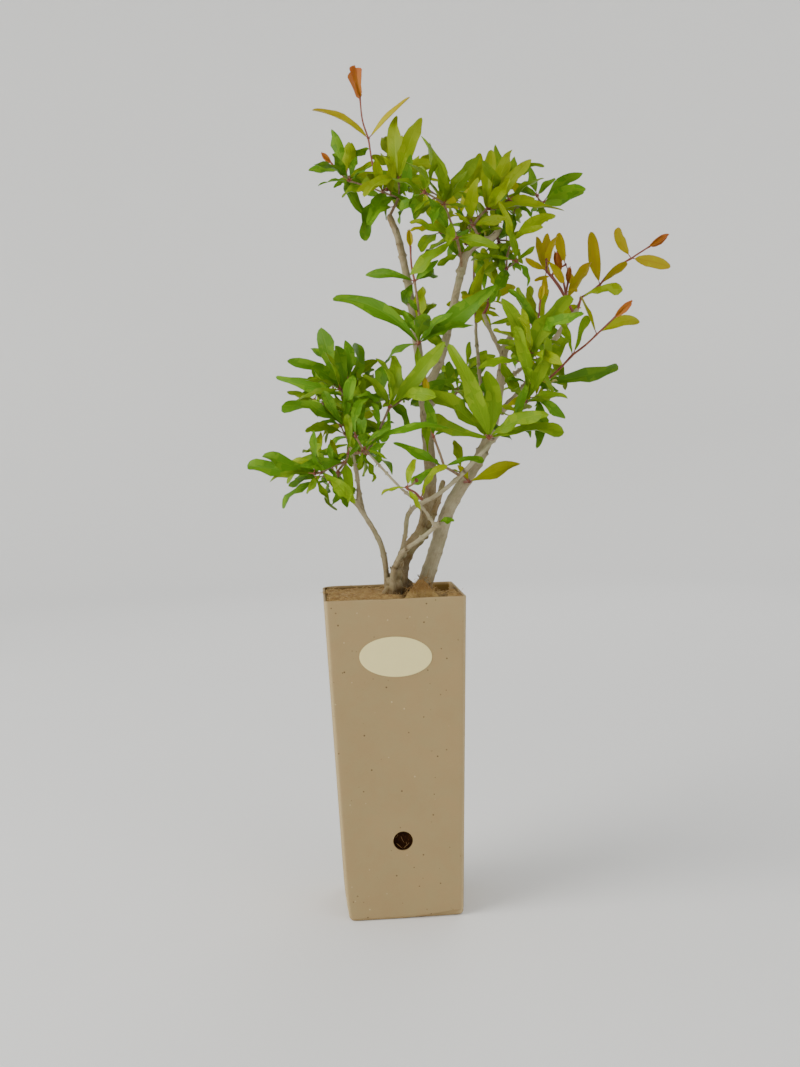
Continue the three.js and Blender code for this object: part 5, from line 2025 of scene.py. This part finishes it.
class TreeSettings(bpy.types.PropertyGroup):
    """The wood and the foliage."""

    bark_pale: colour_setting("Pale bark", "Colour of the palest bark", "A69D80")
    bark_brown: colour_setting("Brown bark", "Colour of the brownest bark", "654A1C")
    fill_leaves: IntProperty(
        name="Small leaves", description="Small leaves tried at each node", default=2, min=0, max=12,
    )
    spur_share: FloatProperty(
        name="Fine twigs", description="Share of nodes that put out a fine leafy twig",
        subtype="FACTOR", default=0.5, min=0, max=1,
    )


# ---- operators


class BuildSleeve(bpy.types.Operator):
    """The cardboard sleeve pot"""

    bl_idname = "pomegranate.sleeve"
    bl_label = "Cardboard sleeve"

    def execute(self, context):
        settings = context.scene.pomegranate_sleeve
        piece = build_pot(recycled_board([*settings.board, 1.0]))
        hand_over(piece, "cardboard", "pot")
        return {"FINISHED"}


class BuildLabel(bpy.types.Operator):
    """The bare oval label"""

    bl_idname = "pomegranate.label"
    bl_label = "Label"

    def execute(self, context):
        settings = context.scene.pomegranate_sleeve
        piece = build_label(label_paper([*settings.label, 1.0]), settings.label_tilt)
        hand_over(piece, "label", "label")
        return {"FINISHED"}


class BuildSoil(bpy.types.Operator):
    """The root ball and the roots behind the drainage hole"""

    bl_idname = "pomegranate.soil"
    bl_label = "Root ball"

    def execute(self, context):
        hand_over(build_soil(compost()), "soil", "root_ball")
        threads = twig_skin("root thread, dried", "5A3E1C", "96703A")
        hand_over(build_threads(threads), "coir")
        return {"FINISHED"}


class BuildFelt(bpy.types.Operator):
    """The coconut felt in the mouth of the sleeve, with its loose fibres"""

    bl_idname = "pomegranate.felt"
    bl_label = "Coconut felt"

    def execute(self, context):
        settings = context.scene.pomegranate_felt
        felt = build_felt(coconut_felt([*settings.colour, 1.0]))
        fibres = strewn_fibres("coir_fibres", felt, coconut_fibre(), {
            "Fibres per square metre": settings.fibres,
            "Fibre length": settings.fibre_length,
            "Stand": 0.22,
        })
        strands = strewn_fibres("coir_strands", felt, coconut_fibre(), {
            "Fibres per square metre": settings.strands,
            "Fibre length": settings.strand_length,
            "Fibre radius": 0.13 * MM,
            "Stand": 0.6,
            "Seed": 8,
        })
        hand_over(felt, "coir", "coir_mat", "coir_roll", "coir_flap")
        hand_over(fibres, "coir")
        hand_over(strands, "coir")
        return {"FINISHED"}


class BuildBark(bpy.types.Operator):
    """The bark over every stem and bough"""

    bl_idname = "pomegranate.bark"
    bl_label = "Stems and boughs"

    def execute(self, context):
        settings = context.scene.pomegranate_tree
        bark = young_bark([*settings.bark_pale, 1.0], [*settings.bark_brown, 1.0])
        hand_over(build_bark(bark, sawn_wood()), "bark", *[limb.name for limb in LIMBS])
        return {"FINISHED"}


def sorted_leaves(grown, random):
    """The leaves with their shapes and the names of their masses, by kind, and all their stalks."""
    deal = seeded(DEAL_SEED)
    sorts = {kind.name: ([], set()) for kind in LEAF_KINDS}
    stalks = []
    for growth in grown:
        sprays = {}
        for leaf in growth.leaves:
            hangs = leaf.along[2] < HANGING
            spray = (tuple(leaf.foot), leaf.tint, hangs)
            if spray not in sprays:
                sprays[spray] = dealt(leaf.tint, growth.row, hangs, deal)
            blades, masses = sorts[sprays[spray]]
            shape = draw_blade(random, leaf, growth.row)
            blades.append((leaf, shape))
            if leaf.tint == "red":
                blades.append((bud_partner(leaf), shape))
            masses.add(growth.row.name)
            stalks.append(petiole_line(leaf, shape))
    return sorts, stalks


def build_twigs(grown, stalks, random):
    """The woody twigs, the young shoots, the stalks and the nodes, joined by kind."""
    woody, young, knobs, young_knobs = [], [], [], []
    for growth in grown:
        is_young = "young" in growth.row.marks
        for twig in growth.twigs:
            (young if is_young or twig.tint != "green" else woody).append(twig_line(twig, random))
        for place, _ in growth.knobs:
            radius = random(0.9, 1.2) if is_young else random(1.1, 1.6)
            (young_knobs if is_young else knobs).append((place, radius))
    brown = twig_skin("pomegranate twig, one year old", "6A4E34", "8C7654")
    red = twig_skin("pomegranate shoot, this year's", "6E2F22", "8C4A30")
    node_skin = twig_skin("pomegranate node, corky", "5C2A1C", "7A4228")
    hand_over(skinned("twigs_woody", woody, brown, 7), "bark")
    hand_over(skinned("shoots_young", young, red, 7), "bark")
    hand_over(skinned("leaf_stalks", stalks, red, 5), "bark")
    hand_over(knob_piece("nodes", knobs + young_knobs, node_skin), "bark")


class BuildFoliage(bpy.types.Operator):
    """The twigs, nodes, stalks and leaves"""

    bl_idname = "pomegranate.foliage"
    bl_label = "Twigs and leaves"

    def execute(self, context):
        grown = grow_foliage()
        for growth in grown:
            carry_on(growth, context.scene.pomegranate_tree)
            finish_front(growth)
        random = seeded(BLADE_SEED)
        sorts, stalks = sorted_leaves(grown, random)
        for kind in LEAF_KINDS:
            face = leaf_material(
                f"pomegranate leaf, {kind.common}", linear(kind.face), kind.rib, 0.46, 0.3,
                kind.tip, kind.tip_share,
            )
            under = leaf_material(
                f"leaf underside, {kind.common}", linear(kind.underside), kind.rib, 0.62, 0.55
            )
            blades, masses = sorts[kind.name]
            piece = leaf_piece(f"leaves_{kind.name}", blades, (face, under))
            hand_over(piece, kind.slot, *sorted(masses))
        build_twigs(grown, stalks, random)
        return {"FINISHED"}


# ---- stage

CAMERA_PLACE = (-0.053, -0.949, 0.339)
CAMERA_YAW = 3.68
CAMERA_PITCH = 3.94
CAMERA_ROLL = -1.95
CAMERA_LENS = 43.86
SENSOR = 36

BOWL_FLAT = 2.2
BOWL_FILLET = 0.7
BOWL_TOP = 3.2

LIGHTS = (
    # name, place, width, watts, colour
    ("key", (-2.3, -1.0, 1.5), 2.3, 78, "FFFDF8"),
    ("fill", (1.2, -2.0, 0.8), 1.6, 9, "FBFDFF"),
    ("back", (0.6, 1.9, 1.6), 1.5, 10, "FFFFFF"),
)
LIGHT_AIM = (0.02, 0, 0.3)
AIR_STRENGTH = 0.42


def camera_matrix():
    yaw, pitch, roll = (math.radians(a) for a in (CAMERA_YAW, CAMERA_PITCH, CAMERA_ROLL))
    ahead = Vector((
        math.sin(yaw) * math.cos(pitch), math.cos(yaw) * math.cos(pitch), -math.sin(pitch)
    ))
    right = Vector((math.cos(yaw), -math.sin(yaw), 0))
    up = right.cross(ahead)
    rolled_right = math.cos(roll) * right + math.sin(roll) * up
    rolled_up = -math.sin(roll) * right + math.cos(roll) * up
    turn = Matrix((rolled_right, rolled_up, -ahead)).transposed().to_4x4()
    return Matrix.Translation(Vector(CAMERA_PLACE)) @ turn


def build_floor(material):
    """A round white bowl: a flat floor that curves up into a wall."""
    profile = [(0.0, 0.0), (0.4, 0.0), (1.0, 0.0), (BOWL_FLAT, 0.0)]
    for i in range(1, 13):
        angle = math.pi / 2 * i / 12
        profile.append((
            BOWL_FLAT + BOWL_FILLET * math.sin(angle), BOWL_FILLET * (1 - math.cos(angle))
        ))
    profile.append((BOWL_FLAT + BOWL_FILLET, BOWL_TOP))
    count = 96
    corners = [(0.0, 0.0, 0.0)]
    for reach, height in profile[1:]:
        for k in range(count):
            turn = 2 * math.pi * k / count
            corners.append((reach * math.cos(turn), reach * math.sin(turn), height))
    faces = [(0, 1 + k, 1 + (k + 1) % count) for k in range(count)]
    for level in range(len(profile) - 2):
        low = 1 + level * count
        for k in range(count):
            j = (k + 1) % count
            faces.append((low + k, low + count + k, low + count + j, low + j))
    return mesh_object("studio_floor", np.array(corners) / MM, faces, [material])


class BuildStage(bpy.types.Operator):
    """The floor, the lights and the camera"""

    bl_idname = "pomegranate.stage"
    bl_label = "Studio"

    def execute(self, context):
        build_floor(studio_floor())
        for name, place, width, watts, colour in LIGHTS:
            light = bpy.data.lights.new(name, "AREA")
            light.shape = "DISK"
            light.size = width
            light.energy = watts
            light.color = linear(colour)[:3]
            lamp = in_scene(name, light)
            lamp.location = place
            aim = Vector(LIGHT_AIM) - Vector(place)
            lamp.rotation_euler = aim.to_track_quat("-Z", "Y").to_euler()
        world = bpy.data.worlds.new("studio air")
        world.use_nodes = True
        sky = world.node_tree.nodes["Background"]
        sky.inputs["Color"].default_value = linear("F6F8FA")
        sky.inputs["Strength"].default_value = AIR_STRENGTH
        context.scene.world = world
        lens = bpy.data.cameras.new("camera")
        lens.lens = CAMERA_LENS
        lens.sensor_width = SENSOR
        lens.clip_start = 0.01
        camera = in_scene("camera", lens)
        camera.matrix_world = camera_matrix()
        context.scene.camera = camera
        return {"FINISHED"}


class PomegranatePanel(bpy.types.Panel):
    """Lists the settings and the pieces"""

    bl_idname = "POMEGRANATE_PT_tree"
    bl_label = "Potted pomegranate"
    bl_space_type = "VIEW_3D"
    bl_region_type = "UI"
    bl_category = "Tree"

    def draw(self, context):
        for name, group in GROUPS.items():
            for key in group.__annotations__:
                self.layout.prop(getattr(context.scene, name), key)
        for operator in OPERATORS:
            self.layout.operator(operator.bl_idname)


OPERATORS = (BuildSleeve, BuildLabel, BuildSoil, BuildFelt, BuildBark, BuildFoliage, BuildStage)
GROUPS = {
    "pomegranate_sleeve": SleeveSettings,
    "pomegranate_felt": FeltSettings,
    "pomegranate_tree": TreeSettings,
}


def register():
    for item in (*GROUPS.values(), *OPERATORS, PomegranatePanel):
        bpy.utils.register_class(item)
    for key, group in GROUPS.items():
        setattr(bpy.types.Scene, key, PointerProperty(type=group))


def unregister():
    for key in GROUPS:
        delattr(bpy.types.Scene, key)
    for item in reversed((*GROUPS.values(), *OPERATORS, PomegranatePanel)):
        bpy.utils.unregister_class(item)


def main():
    register()
    bpy.ops.pomegranate.sleeve()
    bpy.ops.pomegranate.label()
    bpy.ops.pomegranate.soil()
    bpy.ops.pomegranate.felt()
    bpy.ops.pomegranate.bark()
    bpy.ops.pomegranate.foliage()
    bpy.ops.pomegranate.stage()


if __name__ == "__main__":
    main()
